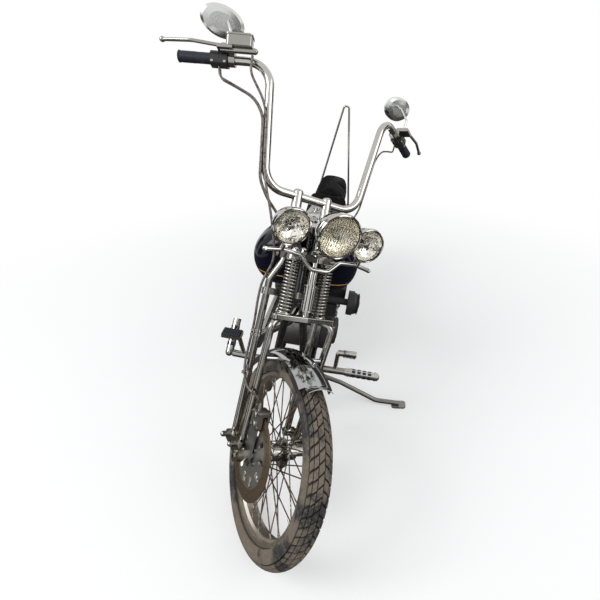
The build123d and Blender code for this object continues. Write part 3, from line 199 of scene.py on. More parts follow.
class Nodes:
    """A node tree under construction."""

    def __init__(self, tree):
        self.tree = tree

    def add(self, kind, inputs=None, **settings):
        """Add a node, set its properties, and set or link its inputs."""
        made = self.tree.nodes.new(kind)
        for key, value in settings.items():
            setattr(made, key, value)
        for socket, value in (inputs or {}).items():
            self.feed(made.inputs[socket], value)
        return made

    def feed(self, socket, value):
        """Link an input to another node, or set its value."""
        if isinstance(value, bpy.types.NodeSocket):
            self.tree.links.new(value, socket)
        else:
            socket.default_value = value

    def math(self, operation, first, second=0.0, clamp=False):
        """Reckon with one or two values."""
        made = self.add("ShaderNodeMath", {0: first, 1: second}, operation=operation, use_clamp=clamp)
        return made.outputs[0]

    def noise(self, vector, scale, detail=3.0, rough=0.5):
        """Cloudy value between nought and one."""
        return self.add("ShaderNodeTexNoise", {"Vector": vector, "Scale": scale, "Detail": detail,
                                               "Roughness": rough}).outputs["Fac"]

    def ramp(self, value, low, high, start=0.0, end=1.0):
        """Spread a value from one range to another, smoothly."""
        return self.add("ShaderNodeMapRange", {"Value": value, "From Min": low, "From Max": high,
                                               "To Min": start, "To Max": end},
                        interpolation_type="SMOOTHSTEP").outputs[0]

    def mix(self, mask, under, over):
        """Mix two colours by a mask."""
        made = self.add("ShaderNodeMix", data_type="RGBA")
        self.feed(made.inputs["Factor"], mask)
        self.feed(made.inputs[MIX_UNDER], under)
        self.feed(made.inputs[MIX_OVER], over)
        return made.outputs[MIX_RESULT]


FLOAT = "NodeSocketFloat"
COUNT = "NodeSocketInt"
VECTOR = "NodeSocketVector"
GEOMETRY = "NodeSocketGeometry"
MATERIAL = "NodeSocketMaterial"


def new_tree(name, kind, inputs, outputs):
    """Start a node group with named sockets. Inputs are (name, kind, default), outputs are (name, kind)."""
    tree = bpy.data.node_groups.new(name, kind)
    for socket, socket_kind, default in inputs:
        made = tree.interface.new_socket(socket, in_out="INPUT", socket_type=socket_kind)
        if default is not None:
            made.default_value = default
    for socket, socket_kind in outputs:
        tree.interface.new_socket(socket, in_out="OUTPUT", socket_type=socket_kind)
    return tree


def shader_group(name, inputs, outputs, build):
    """Make a shader node group once."""
    tree = new_tree(name, "ShaderNodeTree", inputs, outputs)
    nodes = Nodes(tree)
    start = tree.nodes.new("NodeGroupInput")
    end = tree.nodes.new("NodeGroupOutput")
    for socket, value in build(nodes, start.outputs).items():
        nodes.feed(end.inputs[socket], value)
    return tree


def geometry_tree(name, inputs, build):
    """Make a Geometry Nodes tree once: a mesh goes in, and what build repeats comes out as a painted mesh."""
    sockets = (("Geometry", GEOMETRY, None), *inputs, ("Material", MATERIAL, None))
    tree = new_tree(name, "GeometryNodeTree", sockets, (("Geometry", GEOMETRY),))
    nodes = Nodes(tree)
    given = nodes.add("NodeGroupInput").outputs
    real = nodes.add("GeometryNodeRealizeInstances", {"Geometry": build(nodes, given)}).outputs[0]
    painted = nodes.add("GeometryNodeSetMaterial", {"Geometry": real, "Material": given["Material"]})
    nodes.feed(nodes.add("NodeGroupOutput").inputs[0], painted.outputs[0])
    return tree


def build_ring(nodes, given):
    """Repeat a mesh evenly round the Z axis."""
    spots = nodes.add("GeometryNodeMeshLine", {"Count": given["Count"], "Offset": (0, 0, 0)})
    index = nodes.add("GeometryNodeInputIndex").outputs[0]
    turn = nodes.math("MULTIPLY", nodes.math("DIVIDE", index, given["Count"]), 2 * pi)
    euler = nodes.add("ShaderNodeCombineXYZ", {"Z": turn}).outputs[0]
    spin = nodes.add("FunctionNodeEulerToRotation", {"Euler": euler}).outputs[0]
    return nodes.add("GeometryNodeInstanceOnPoints",
                     {"Points": spots.outputs[0], "Instance": given["Geometry"], "Rotation": spin}).outputs[0]


def build_row(nodes, given):
    """Repeat a mesh along a straight row."""
    spots = nodes.add("GeometryNodeMeshLine", {"Count": given["Count"], "Offset": given["Step"]})
    return nodes.add("GeometryNodeInstanceOnPoints", {"Points": spots.outputs[0],
                                                      "Instance": given["Geometry"]}).outputs[0]


HEAD_SIDES = 6
COLLAR_SIDES = 14
COLLAR_TALL = 0.5


def build_pegs(nodes, given):
    """Stand a six-sided head on a round collar at each point, facing along the point's own direction."""
    head = nodes.add("GeometryNodeMeshCylinder", {"Vertices": HEAD_SIDES, "Radius": 1.0,
                                                  "Depth": given["Tall"]})
    lift = nodes.add("ShaderNodeCombineXYZ", {"Z": nodes.math("MULTIPLY", given["Tall"], 0.5)}).outputs[0]
    stood = nodes.add("GeometryNodeTransform", {"Geometry": head.outputs[0], "Translation": lift}).outputs[0]
    collar = nodes.add("GeometryNodeMeshCylinder", {"Vertices": COLLAR_SIDES, "Radius": given["Collar"],
                                                    "Depth": COLLAR_TALL})
    both = nodes.add("GeometryNodeJoinGeometry")
    for piece in (stood, collar.outputs[0]):
        nodes.tree.links.new(piece, both.inputs[0])
    named = "GeometryNodeInputNamedAttribute"
    facing = nodes.add(named, {"Name": "facing"}, data_type="FLOAT_VECTOR").outputs[0]
    size = nodes.add(named, {"Name": "size"}, data_type="FLOAT").outputs[0]
    turn = nodes.add("FunctionNodeAlignRotationToVector", {"Vector": facing}, axis="Z").outputs[0]
    scale = nodes.add("ShaderNodeCombineXYZ", {"X": size, "Y": size, "Z": size}).outputs[0]
    return nodes.add("GeometryNodeInstanceOnPoints",
                     {"Points": given["Geometry"], "Instance": both.outputs[0], "Rotation": turn,
                      "Scale": scale}).outputs[0]


FINISH_MARK = "finish_"


def finish_named(name):
    """The material of a finish."""
    return bpy.data.materials[FINISH_MARK + name]


TREES = {
    "ring": geometry_tree("ring", (("Count", COUNT, 8),), build_ring),
    "row": geometry_tree("row", (("Count", COUNT, 8), ("Step", VECTOR, (0.0, 0.0, 0.01))), build_row),
    "pegs": geometry_tree("pegs", (("Tall", FLOAT, 0.9), ("Collar", FLOAT, 1.35)), build_pegs),
}


def link(name, data):
    """Put new data in the scene as an object."""
    made = bpy.data.objects.new(name, data)
    bpy.context.scene.collection.objects.link(made)
    return made


def applied(piece):
    """Plain mesh of an object with its modifiers applied."""
    return bpy.data.meshes.new_from_object(piece.evaluated_get(bpy.context.evaluated_depsgraph_get()))


def grow(mesh, tree, finish, **values):
    """Run a Geometry Nodes tree on a mesh and return the plain mesh that it makes."""
    maker = link("maker", mesh)
    modifier = maker.modifiers.new("grow", "NODES")
    modifier.node_group = TREES[tree]
    values["Material"] = finish_named(finish)
    for item in TREES[tree].interface.items_tree:
        if item.in_out == "INPUT" and item.name in values:
            modifier[item.identifier] = values[item.name]
    made = applied(maker)
    bpy.data.objects.remove(maker)
    return made


# Shapes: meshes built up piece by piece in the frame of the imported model


WELD = 1e-6
SHARP_ANGLE = radians(34)
SLEEVE_EDGE = 0.4
# Acorn nut: shares of its radius
NUT_SKIRT = 1.12
NUT_DOME = 0.95


class Shape:
    """A mesh under construction, all in one finish and on one body."""

    def __init__(self, finish):
        self.finish = finish
        self.mesh = bmesh.new()

    def ring(self, points):
        """Add points."""
        return [self.mesh.verts.new(point) for point in points]

    def bridge(self, low, high):
        """Join two rings of points, either of which may be a single point."""
        count = max(len(low), len(high))
        for k in range(count):
            after = (k + 1) % count
            corners = (low[k % len(low)], low[after % len(low)], high[after % len(high)], high[k % len(high)])
            face = list(dict.fromkeys(corners))
            if len(face) > 2:
                self.mesh.faces.new(face)

    def lathe(self, place, profile, steps=28, closed=False):
        """Turn a profile of (radius, height) in millimetres about the Z axis of a place."""
        rings = []
        for radius, height in profile:
            count = steps if radius > 0 else 1
            turns = [2 * pi * k / count for k in range(count)]
            rings.append(self.ring([at(place, radius * cos(turn), radius * sin(turn), height)
                                    for turn in turns]))
        for low, high in zip(rings, rings[1:] + (rings[:1] if closed else [])):
            self.bridge(low, high)

    def disc(self, origin, facing, radius, tall, edge=0.8, steps=28):
        """A round cap with a rounded edge, in millimetres, standing on a point."""
        self.lathe(axis_frame(origin, facing),
                   [(0, 0), (radius, 0), (radius, tall - edge), (radius - 0.4 * edge, tall - 0.3 * edge),
                    (radius - edge, tall), (0, tall)], steps)

    def dome(self, origin, facing, radius, tall, steps=20):
        """An acorn nut: a six-sided skirt under a round dome, in millimetres."""
        place = axis_frame(origin, facing)
        skirt = radius * NUT_SKIRT
        self.lathe(place, [(0, 0), (skirt, 0), (skirt, tall * 0.5), (0, tall * 0.5)], HEAD_SIDES)
        wide = radius * NUT_DOME
        turns = [radians(15 * k) for k in range(6)]
        bulge = [(wide * cos(turn), tall * (0.5 + 0.5 * sin(turn))) for turn in turns]
        self.lathe(place, [(wide, tall * 0.4), *bulge, (0, tall)], steps)

    def hoop(self, origin, facing, radius, thick, steps=40):
        """A round ring of round wire, in millimetres."""
        turns = [radians(45 * k) for k in range(8)]
        profile = [(radius + thick * cos(turn), thick * sin(turn)) for turn in turns]
        self.lathe(axis_frame(origin, facing), profile, steps, closed=True)

    def sleeve(self, start, end, radius, wall=1.5, steps=28):
        """A band round a rod or tube, given by its two ends and its inner radius in millimetres."""
        tall = (end - start).length / MM
        outer = radius + wall
        rim = outer - SLEEVE_EDGE
        profile = [(radius, 0), (rim, 0), (outer, SLEEVE_EDGE), (outer, tall - SLEEVE_EDGE), (rim, tall),
                   (radius, tall)]
        self.lathe(axis_frame(start, end - start), profile, steps, closed=True)

    def tube(self, points, radius, steps=10, closed=False):
        """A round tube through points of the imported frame, with its radius in millimetres."""
        rings = []
        side = None
        count = len(points)
        for k, point in enumerate(points):
            before = points[k - 1] if k or closed else point
            after = points[(k + 1) % count] if k + 1 < count or closed else point
            run = (after - before).normalized()
            side = run.orthogonal() if side is None else side - run * side.dot(run)
            side = side.normalized()
            across = run.cross(side)
            turns = [2 * pi * n / steps for n in range(steps)]
            rings.append(self.ring([point + (side * cos(turn) + across * sin(turn)) * radius * MM
                                    for turn in turns]))
        for low, high in zip(rings, rings[1:]):
            self.bridge(low, high)
        if closed:
            self.close(rings[-1], rings[0])
        else:
            self.mesh.faces.new(rings[0])
            self.mesh.faces.new(rings[-1])

    def close(self, last, first):
        """Join the ends of a closed tube where they lie nearest."""
        shift = min(range(len(first)), key=lambda k: (first[k].co - last[0].co).length)
        self.bridge(last, first[shift:] + first[:shift])

    def block(self, place, size, round_by):
        """A box with rounded edges, centred on a place, in millimetres."""
        made = bmesh.ops.create_cube(self.mesh, size=MM, matrix=place @ Matrix.Diagonal((*size, 1)))
        edges = {edge for vert in made["verts"] for edge in vert.link_edges}
        bmesh.ops.bevel(self.mesh, geom=list(edges), offset=round_by * MM, segments=3, profile=0.5,
                        affect="EDGES", clamp_overlap=True)

    def take(self, mesh, place=None):
        """Add a finished mesh."""
        if place is not None:
            mesh.transform(place)
        self.mesh.from_mesh(mesh)
        bpy.data.meshes.remove(mesh)

    def to_mesh(self, name):
        """Close the shape and turn it into a mesh."""
        bmesh.ops.remove_doubles(self.mesh, verts=self.mesh.verts, dist=WELD)
        bmesh.ops.recalc_face_normals(self.mesh, faces=self.mesh.faces)
        mesh = bpy.data.meshes.new(name)
        self.mesh.to_mesh(mesh)
        self.mesh.free()
        return mesh

    def ring_of(self, piece, count, place):
        """Add a piece repeated round the Z axis of a place."""
        self.take(grow(piece.to_mesh("pitch"), "ring", self.finish, Count=count), place)

    def row_of(self, piece, count, step, place):
        """Add a piece repeated along a row in a place."""
        made = grow(piece.to_mesh("pitch"), "row", self.finish, Count=count, Step=Vector(step) * MM)
        self.take(made, place)

    def bolts(self, spots, tall=0.9, collar=1.35):
        """Add bolt heads at (point, direction, radius in metres)."""
        mesh = bpy.data.meshes.new("spots")
        mesh.from_pydata([point for point, _, _ in spots], [], [])
        mesh.attributes.new("facing", "FLOAT_VECTOR", "POINT")
        mesh.attributes.new("size", "FLOAT", "POINT")
        for k, (_, direction, radius) in enumerate(spots):
            mesh.attributes["facing"].data[k].vector = direction
            mesh.attributes["size"].data[k].value = radius
        self.take(grow(mesh, "pegs", self.finish, Tall=tall, Collar=collar))

    def piece(self, name, body, slot):
        """Finish the mesh as an object that rides on a body."""
        return place_piece(name, self.to_mesh(name), self.finish, body)


def place_piece(name, mesh, finish, body):
    """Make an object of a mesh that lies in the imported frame, and let it ride on a body."""
    mesh.materials.clear()
    mesh.materials.append(finish_named(finish))
    for face in mesh.polygons:
        face.material_index = 0
    mesh.shade_smooth()
    mesh.set_sharp_from_angle(angle=SHARP_ANGLE)
    made = link(name, mesh)
    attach(made, body)
    return made


def surface(*names):
    """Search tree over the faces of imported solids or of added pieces."""
    points = []
    faces = []
    for name in names:
        mesh = bpy.data.objects[name].data
        first = len(points)
        points += [vertex.co.copy() for vertex in mesh.vertices]
        faces += [[first + corner for corner in face.vertices] for face in mesh.polygons]
    return BVHTree.FromPolygons(points, faces)


def landed(tree, start, direction):
    """Where a straight line meets a surface, and the surface's outward normal there."""
    spot, normal, _, _ = tree.ray_cast(start, direction)
    if spot is None:
        raise RuntimeError("a line to a surface found nothing")
    return spot, normal if normal.dot(direction) < 0 else -normal


# Effects that several finishes share


def build_smudges(nodes, given):
    """Handled metal: broad smears and fine wiping marks, as a roughness."""
    broad = nodes.noise(given["Vector"], given["Scale"], 4.0)
    fine = nodes.noise(given["Vector"], nodes.math("MULTIPLY", given["Scale"], 14.0), 2.0)
    both = nodes.math("ADD", nodes.math("MULTIPLY", broad, 0.75), nodes.math("MULTIPLY", fine, 0.25))
    spread = nodes.add("ShaderNodeMapRange", {"Value": both, "From Min": 0.3, "From Max": 0.75,
                                              "To Min": given["Low"], "To Max": given["High"]})
    return {"Roughness": spread.outputs[0]}


def build_blotches(nodes, given):
    """Patches such as rust, dirt or dust: a mask that covers about the given share of a surface."""
    large = nodes.noise(given["Vector"], given["Scale"], 6.0, 0.65)
    edge = nodes.math("SUBTRACT", 0.74, nodes.math("MULTIPLY", given["Cover"], 0.5))
    return {"Mask": nodes.ramp(large, edge, nodes.math("ADD", edge, 0.12))}


def build_grain(nodes, given):
    """Pebbled leather or cast metal, as a height."""
    cells = nodes.add("ShaderNodeTexVoronoi", {"Vector": given["Vector"], "Scale": given["Scale"]},
                      feature="SMOOTH_F1").outputs["Distance"]
    soft = nodes.noise(given["Vector"], nodes.math("MULTIPLY", given["Scale"], 0.35), 3.0)
    both = nodes.math("ADD", nodes.math("MULTIPLY", cells, 0.7), nodes.math("MULTIPLY", soft, 0.6))
    return {"Height": both}


PLACE = ("Vector", VECTOR, None)
GROUPS = {
    "smudges": shader_group("smudges", (PLACE, ("Scale", FLOAT, 12.0), ("Low", FLOAT, 0.05),
                                        ("High", FLOAT, 0.2)), (("Roughness", FLOAT),), build_smudges),
    "blotches": shader_group("blotches", (PLACE, ("Scale", FLOAT, 20.0), ("Cover", FLOAT, 0.2)),
                             (("Mask", FLOAT),), build_blotches),
    "grain": shader_group("grain", (PLACE, ("Scale", FLOAT, 400.0)), (("Height", FLOAT),), build_grain),
}


class Finish(Nodes):
    """A material under construction, on the object's own coordinates."""

    def __init__(self, name, color, metallic=0.0, roughness=0.5, **sockets):
        self.material = bpy.data.materials.new(FINISH_MARK + name)
        self.material.use_nodes = True
        super().__init__(self.material.node_tree)
        self.shader = self.tree.nodes["Principled BSDF"]
        self.color = (*color, 1.0)
        self.set("Base Color", self.color)
        self.set("Metallic", metallic)
        self.set("Roughness", roughness)
        for socket, value in sockets.items():
            self.set(socket.replace("_", " ").title().replace("Ior", "IOR"), value)
        self.coords = self.add("ShaderNodeTexCoord").outputs["Object"]

    def set(self, socket, value):
        """Set or link an input of the surface's shader."""
        self.feed(self.shader.inputs[socket], value)

    def group(self, name, output, **values):
        """Place a shared effect and return one of its outputs."""
        made = self.add("ShaderNodeGroup", node_tree=GROUPS[name])
        self.feed(made.inputs["Vector"], self.coords)
        for socket, value in values.items():
            self.feed(made.inputs[socket], value)
        return made.outputs[output]

    def smudges(self, scale, low, high):
        """Let the roughness wander between two values."""
        self.set("Roughness", self.group("smudges", "Roughness", Scale=scale, Low=low, High=high))

    def bump(self, height, strength, distance):
        """Give the surface a fine relief, with its depth in metres."""
        self.set("Normal", self.add("ShaderNodeBump", {"Height": height, "Strength": strength,
                                                       "Distance": distance}).outputs["Normal"])

    def seen_from(self, place):
        """Object coordinates turned into another frame."""
        back = place.inverted()
        return self.add("ShaderNodeMapping", {"Vector": self.coords, "Location": back.translation,
                                              "Rotation": back.to_euler()}).outputs["Vector"]

    def parts(self, vector):
        """The three parts of a vector."""
        return self.add("ShaderNodeSeparateXYZ", {"Vector": vector}).outputs

    def far(self, first, second):
        """Distance reckoned from two parts at right angles."""
        squares = [self.math("MULTIPLY", part, part) for part in (first, second)]
        return self.math("SQRT", self.math("ADD", *squares))

    def radius(self, place):
        """Distance from the axle of a wheel's frame."""
        x, y, _ = self.parts(self.seen_from(place))
        return self.far(x, y)


# Finishes


def polished_metal(name, color, rust, low, high, pits, ripple=0.04):
    """Plated or polished metal with smears, a slight ripple and brown pitting."""
    made = Finish(name, color, 1.0)
    spots = made.group("blotches", "Mask", Scale=95.0, Cover=pits)
    made.set("Base Color", made.mix(spots, made.color, (*rust, 1.0)))
    made.set("Metallic", made.math("SUBTRACT", 1.0, made.math("MULTIPLY", spots, 0.85)))
    clean = made.group("smudges", "Roughness", Scale=9.0, Low=low, High=high)
    made.set("Roughness", made.math("ADD", clean, made.math("MULTIPLY", spots, 0.5), clamp=True))
    made.bump(made.noise(made.coords, 28.0, 2.0), ripple, 0.004)


def swirled_reflector(color):
    """Bright lamp bowl with a wavy, dulled surface."""
    made = Finish("reflector", color, 1.0)
    haze = made.group("blotches", "Mask", Scale=34.0, Cover=0.5)
    made.set("Base Color", made.mix(haze, made.color, tuple(0.6 * value for value in color) + (1.0,)))
    made.smudges(30.0, 0.04, 0.14)
    made.bump(made.noise(made.coords, 48.0, 2.0), 0.6, 0.01)


def painted_metal(name, color, dust, rough, cover):
    """Gloss paint under a clear coat, with a film of dust."""
    made = Finish(name, color, 0.0, rough, coat_weight=1.0, coat_roughness=0.04)
    film = made.group("blotches", "Mask", Scale=14.0, Cover=cover)
    made.set("Base Color", made.mix(made.math("MULTIPLY", film, 0.3), made.color, (*dust, 1.0)))
    made.smudges(10.0, rough, rough + 0.2)


def cast_metal(name, color, metallic, rough, oil):
    """Cast or wrinkle-painted engine metal, grained, with oily dirt."""
    made = Finish(name, color, metallic)
    dirt = made.group("blotches", "Mask", Scale=26.0, Cover=oil)
    dark = tuple(0.35 * value for value in color) + (1.0,)
    made.set("Base Color", made.mix(dirt, made.color, dark))
    made.smudges(16.0, rough, rough + 0.22)
    made.bump(made.group("grain", "Height", Scale=620.0), 0.25, 0.0006)


def tyre_rubber(tyre, color, dust):
    """Black rubber, dusty on its sidewalls and block tops, with painted shade that darkens its grooves."""
    made = Finish(tyre.finish, color, 0.0, 0.7, specular_ior_level=0.3)
    side = made.parts(made.seen_from(tyre.place))[2]
    off = made.math("SUBTRACT", made.radius(tyre.place), (tyre.radius - tyre.crown) * MM)
    crown = tyre.crown * MM
    # Painted shade: down in the grooves the dust keeps only 0.16 of its share, so the groove bottoms come out
    # darker.
    top = made.ramp(made.far(off, side), crown - 0.006, crown - 0.001, 0.16, 1.0)
    broad = made.group("blotches", "Mask", Scale=9.0, Cover=0.62)
    fine = made.group("blotches", "Mask", Scale=120.0, Cover=0.5)
    film = made.math("ADD", made.math("MULTIPLY", broad, 0.42), made.math("MULTIPLY", fine, 0.16), clamp=True)
    # cover is the dust film times the painted shade of the grooves.
    cover = made.math("MULTIPLY", film, top)
    made.set("Base Color", made.mix(cover, made.color, (*dust, 1.0)))
    made.smudges(20.0, 0.58, 0.85)
    made.bump(made.group("grain", "Height", Scale=900.0), 0.3, 0.0004)


def soft_rubber(name, color, dust, low):
    """Moulded rubber or plastic of grips, pedals, cables and belt."""
    made = Finish(name, color, 0.0, 0.55)
    worn = made.group("blotches", "Mask", Scale=40.0, Cover=0.3)
    made.set("Base Color", made.mix(made.math("MULTIPLY", worn, 0.2), made.color, (*dust, 1.0)))
    made.smudges(30.0, low, low + 0.26)
    made.bump(made.group("grain", "Height", Scale=1100.0), 0.25, 0.0003)


def laced_hub(name, color, rust, place, flange):
    """Plated hub inside the flange, rusty spokes outside it."""
    made = Finish(name, color, 1.0)
    outside = made.ramp(made.radius(place), flange, flange + 0.02)
    patch = made.group("blotches", "Mask", Scale=60.0, Cover=0.72)
    brown = made.math("MULTIPLY", outside, patch)
    lit = tuple(1.2 * value for value in rust) + (1.0,)
    made.set("Base Color", made.mix(brown, made.color, lit))
    made.set("Metallic", made.math("SUBTRACT", 1.0, made.math("MULTIPLY", brown, 0.8)))
    clean = made.group("smudges", "Roughness", Scale=25.0, Low=0.12, High=0.3)
    made.set("Roughness", made.math("ADD", clean, made.math("MULTIPLY", brown, 0.45), clamp=True))


# Switch housing by a grip, in metres: its top, its middle and half length along the grip, and its depth
HOUSING_TOP = 0.0245
HOUSING_MIDDLE = 0.145
HOUSING_HALF = 0.033
HOUSING_DEEP = 0.045


def hand_metal(color, dark):
    """Plated levers and perches, with the switch housings in black."""
    made = Finish("hand_metal", color, 1.0)
    housing = 0.0
    for side in SIDES:
        lift, ahead, inward = made.parts(made.seen_from(Hand(side).place))
        low = made.math("LESS_THAN", lift, HOUSING_TOP)
        off = made.math("ABSOLUTE", made.math("SUBTRACT", inward, HOUSING_MIDDLE))
        near = made.math("LESS_THAN", off, HOUSING_HALF)
        slim = made.math("LESS_THAN", made.math("ABSOLUTE", ahead), HOUSING_DEEP)
        housing = made.math("ADD", made.math("MULTIPLY", made.math("MULTIPLY", low, near), slim), housing)
    made.set("Base Color", made.mix(housing, made.color, (*dark, 1.0)))
    made.set("Metallic", made.math("SUBTRACT", 1.0, housing, clamp=True))
    made.smudges(20.0, 0.1, 0.3)


DISC_TRACK = 0.104
SCORES_PER_METRE = 900.0


def brake_disc(name, place):
    """Steel carrier with a browned friction ring, scored in circles."""
    made = Finish(name, (0.46, 0.45, 0.42), 1.0)
    far = made.radius(place)
    track = made.ramp(far, DISC_TRACK, DISC_TRACK + 0.004)
    made.set("Base Color", made.mix(track, made.color, (0.33, 0.25, 0.17, 1.0)))
    circles = made.math("MULTIPLY", far, SCORES_PER_METRE)
    scores = made.add("ShaderNodeTexNoise", {"W": circles, "Scale": 1.0, "Detail": 2.0},
                      noise_dimensions="1D").outputs["Fac"]
    made.set("Roughness", made.ramp(scores, 0.3, 0.7, 0.3, 0.52))
    made.bump(scores, 0.2, 0.0004)


def seat_leather(color):
    """Black leather, pebbled and rubbed."""
    made = Finish("seat_leather", color, 0.0, 0.5, specular_ior_level=0.04)
    rubbed = made.group("blotches", "Mask", Scale=11.0, Cover=0.4)
    worn = tuple(value + 0.008 for value in color) + (1.0,)
    made.set("Base Color", made.mix(made.math("MULTIPLY", rubbed, 0.35), made.color, worn))
    made.smudges(14.0, 0.36, 0.6)
    made.bump(made.group("grain", "Height", Scale=420.0), 0.5, 0.0008)


# Pinstripe of the tank: its height above the rear axle and half its width, in metres
STRIPE_HIGH = 0.447
STRIPE_HALF = 0.0022


def tank_paint(color, stripe, dust):
    """Gloss paint with a thin stripe low along the tank."""
    made = Finish("tank_paint", color, 0.0, 0.12, specular_ior_level=0.16, coat_weight=0.15,
                  coat_roughness=0.03)
    up = made.parts(made.seen_from(BIKE))[2]
    off = made.math("ABSOLUTE", made.math("SUBTRACT", up, STRIPE_HIGH))
    line = made.math("LESS_THAN", off, STRIPE_HALF)
    film = made.group("blotches", "Mask", Scale=12.0, Cover=0.3)
    dusty = made.mix(made.math("MULTIPLY", film, 0.08), made.color, (*dust, 1.0))
    made.set("Base Color", made.mix(line, dusty, (*stripe, 1.0)))
    made.smudges(8.0, 0.08, 0.2)


def clear_glass(name, color):
    """Lamp glass with a faint haze."""
    made = Finish(name, color, 0.0, 0.02, transmission_weight=1.0)
    made.set("IOR", 1.25)
    made.bump(made.noise(made.coords, 60.0, 2.0), 0.03, 0.002)


def moulded_lens(name, color):
    """Coloured moulded lens or enamel."""
    made = Finish(name, color, 0.0, 0.12, coat_weight=0.6)
    made.smudges(30.0, 0.08, 0.2)
    made.bump(made.noise(made.coords, 160.0, 1.0), 0.1, 0.001)


def braided_hose(rust):
    """Steel braid under a dirty sleeve."""
    made = Finish("braided_hose", (0.16, 0.15, 0.145), 0.6, 0.45)
    dirt = made.group("blotches", "Mask", Scale=70.0, Cover=0.5)
    made.set("Base Color", made.mix(dirt, made.color, (*rust, 1.0)))
    made.smudges(40.0, 0.35, 0.6)
    made.bump(made.group("grain", "Height", Scale=900.0), 0.5, 0.0005)


def make_finishes(tones):
    """Make every finish, by name."""
    rust = tuple(tones.rust)
    dust = tuple(tones.dust)
    polished_metal("chrome", tones.chrome, rust, low=0.05, high=0.16, pits=0.07)
    polished_metal("aged_chrome", tones.aged_chrome, rust, low=0.1, high=0.26, pits=0.2)
    polished_metal("steel", (0.22, 0.215, 0.2), rust, low=0.22, high=0.42, pits=0.2)
    # Mirror shells: a paler copy of the chrome, whose extra brightness is a painted reflection of bright
    # light.
    polished_metal("pale_metal", (0.66, 0.67, 0.66), rust, low=0.16, high=0.34, pits=0.04)
    polished_metal("rim_chrome", (0.78, 0.72, 0.62), rust, low=0.24, high=0.42, pits=0.12)
    polished_metal("fender_chrome", (0.4, 0.41, 0.41), rust, low=0.05, high=0.14, pits=0.03, ripple=0.008)
    swirled_reflector((0.93, 0.9, 0.82))
    polished_metal("mirror_glass", (0.6, 0.62, 0.62), rust, low=0.01, high=0.04, pits=0.0)
    cast_metal("alloy", tuple(tones.alloy), metallic=1.0, rough=0.28, oil=0.25)
    cast_metal("engine_black", tuple(tones.engine), metallic=0.0, rough=0.42, oil=0.2)
    painted_metal("frame_black", tones.frame, dust, rough=0.16, cover=0.3)
    tank_paint(tones.paint, tones.stripe, dust)
    for tyre in TYRES:
        tyre_rubber(tyre, tones.rubber, dust)
    soft_rubber("soft_rubber", tones.grip, dust, low=0.42)
    soft_rubber("dark_plastic", (0.012, 0.012, 0.013), dust, low=0.3)
    laced_hub("front_spokes", tones.aged_chrome, rust, FRONT_WHEEL, flange=0.05)
    laced_hub("rear_spokes", tones.aged_chrome, rust, REAR_WHEEL, flange=0.054)
    hand_metal(tones.aged_chrome, tones.engine)
    brake_disc("front_disc", FRONT_WHEEL)
    brake_disc("rear_disc", REAR_WHEEL)
    seat_leather(tuple(tones.leather))
    clear_glass("clear_glass", (0.99, 0.995, 0.99))
    clear_glass("warm_glass", (0.998, 0.99, 0.955))
    moulded_lens("tail_glass", (0.4, 0.008, 0.006))
    moulded_lens("dial_face", (0.5, 0.49, 0.46))
    braided_hose(rust)


NODE_FINISHES = {
    "chrome": "lamp_shells light_bar handlebar risers sissy_bar fender_struts damper front_axle rear_axle "
              "air_cleaner mufflers rocker_covers pushrod_tubes dash_console footpegs foot_levers",
    "rim_chrome": "front_rim rear_rim",
    "fender_chrome": "front_fender",
    # The mirror shells take the paler chrome, a painted reflection of bright light.
    "pale_metal": "mirrors",
    "aged_chrome": "rigid_legs spring_legs rockers steering_stem exhaust_pipes fork_springs "
                   "control_brackets",
    "hand_metal": "hand_controls",
    "alloy": "crankcase gearbox front_caliper rear_caliper",
    "engine_black": "cylinders horn primary_cover",
    "frame_black": "backbone frame_rails lower_stays upper_stays rear_fender stand_bracket oil_tank",
    "tank_paint": "fuel_tank",
    "front_rubber": "front_tyre",
    "rear_rubber": "rear_tyre",
    "soft_rubber": "grips drive_belt",
    "braided_hose": "brake_hose control_cables",
    "front_spokes": "front_hub",
    "rear_spokes": "rear_hub",
    "front_disc": "front_disc",
    "rear_disc": "rear_disc",
    "steel": "drive_pulley side_stand",
    "seat_leather": "rider_seat pillion_seat",
    "clear_glass": "lamp_lenses",
    "tail_glass": "tail_lamp",
}


def paint_nodes():
    """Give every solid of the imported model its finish."""
    for finish, names in NODE_FINISHES.items():
        for name in names.split():
            node = frame["nodes"][name]
            node.data.materials.clear()
            node.data.materials.append(finish_named(finish))


# Stage: camera, floor, soft light and dark cards beside the chrome


CAMERA_FROM_REAR_AXLE = Vector((2.6720, 0.3977, 1.3179))
CAMERA_LOOK = Vector((-0.895464, -0.042084, -0.443141))
CAMERA_ROLL = radians(0.3)
CAMERA_LENS = 25.85
CAMERA_SHIFT = (-0.1028, -0.0775)
CAMERA_SENSOR = 36.0
SKY_STRENGTH = 0.62
FLOOR_HALF = 30.0
# Floor: distances over which it turns white, and its share of white nearby
FLOOR_FADE = (1.0, 3.2)
FLOOR_WHITE = 0.42


def aim(piece, direction):
    """Turn a camera or lamp to look along a direction."""
    piece.rotation_mode = "QUATERNION"
    piece.rotation_quaternion = direction.to_track_quat("-Z", "Y")


def make_camera():
    """Camera at the photo's place and angle."""
    data = bpy.data.cameras.new("photo_camera")
    data.lens = CAMERA_LENS
    data.sensor_width = CAMERA_SENSOR
    data.shift_x, data.shift_y = CAMERA_SHIFT
    data.clip_start = 0.01
    data.clip_end = 100.0
    camera = link("photo_camera", data)
    aim(camera, CAMERA_LOOK)
    camera.rotation_quaternion @= Matrix.Rotation(CAMERA_ROLL, 3, "Z").to_quaternion()
    camera.location = joint_place("rear_wheel_spin") + CAMERA_FROM_REAR_AXLE
    bpy.context.scene.camera = camera


def seen_directly(nodes):
    """One for rays from the camera, from polished metal or through glass."""
    path = nodes.add("ShaderNodeLightPath").outputs
    seen = nodes.math("MAXIMUM", path["Is Camera Ray"], path["Is Glossy Ray"])
    return nodes.math("MAXIMUM", seen, path["Is Transmission Ray"])


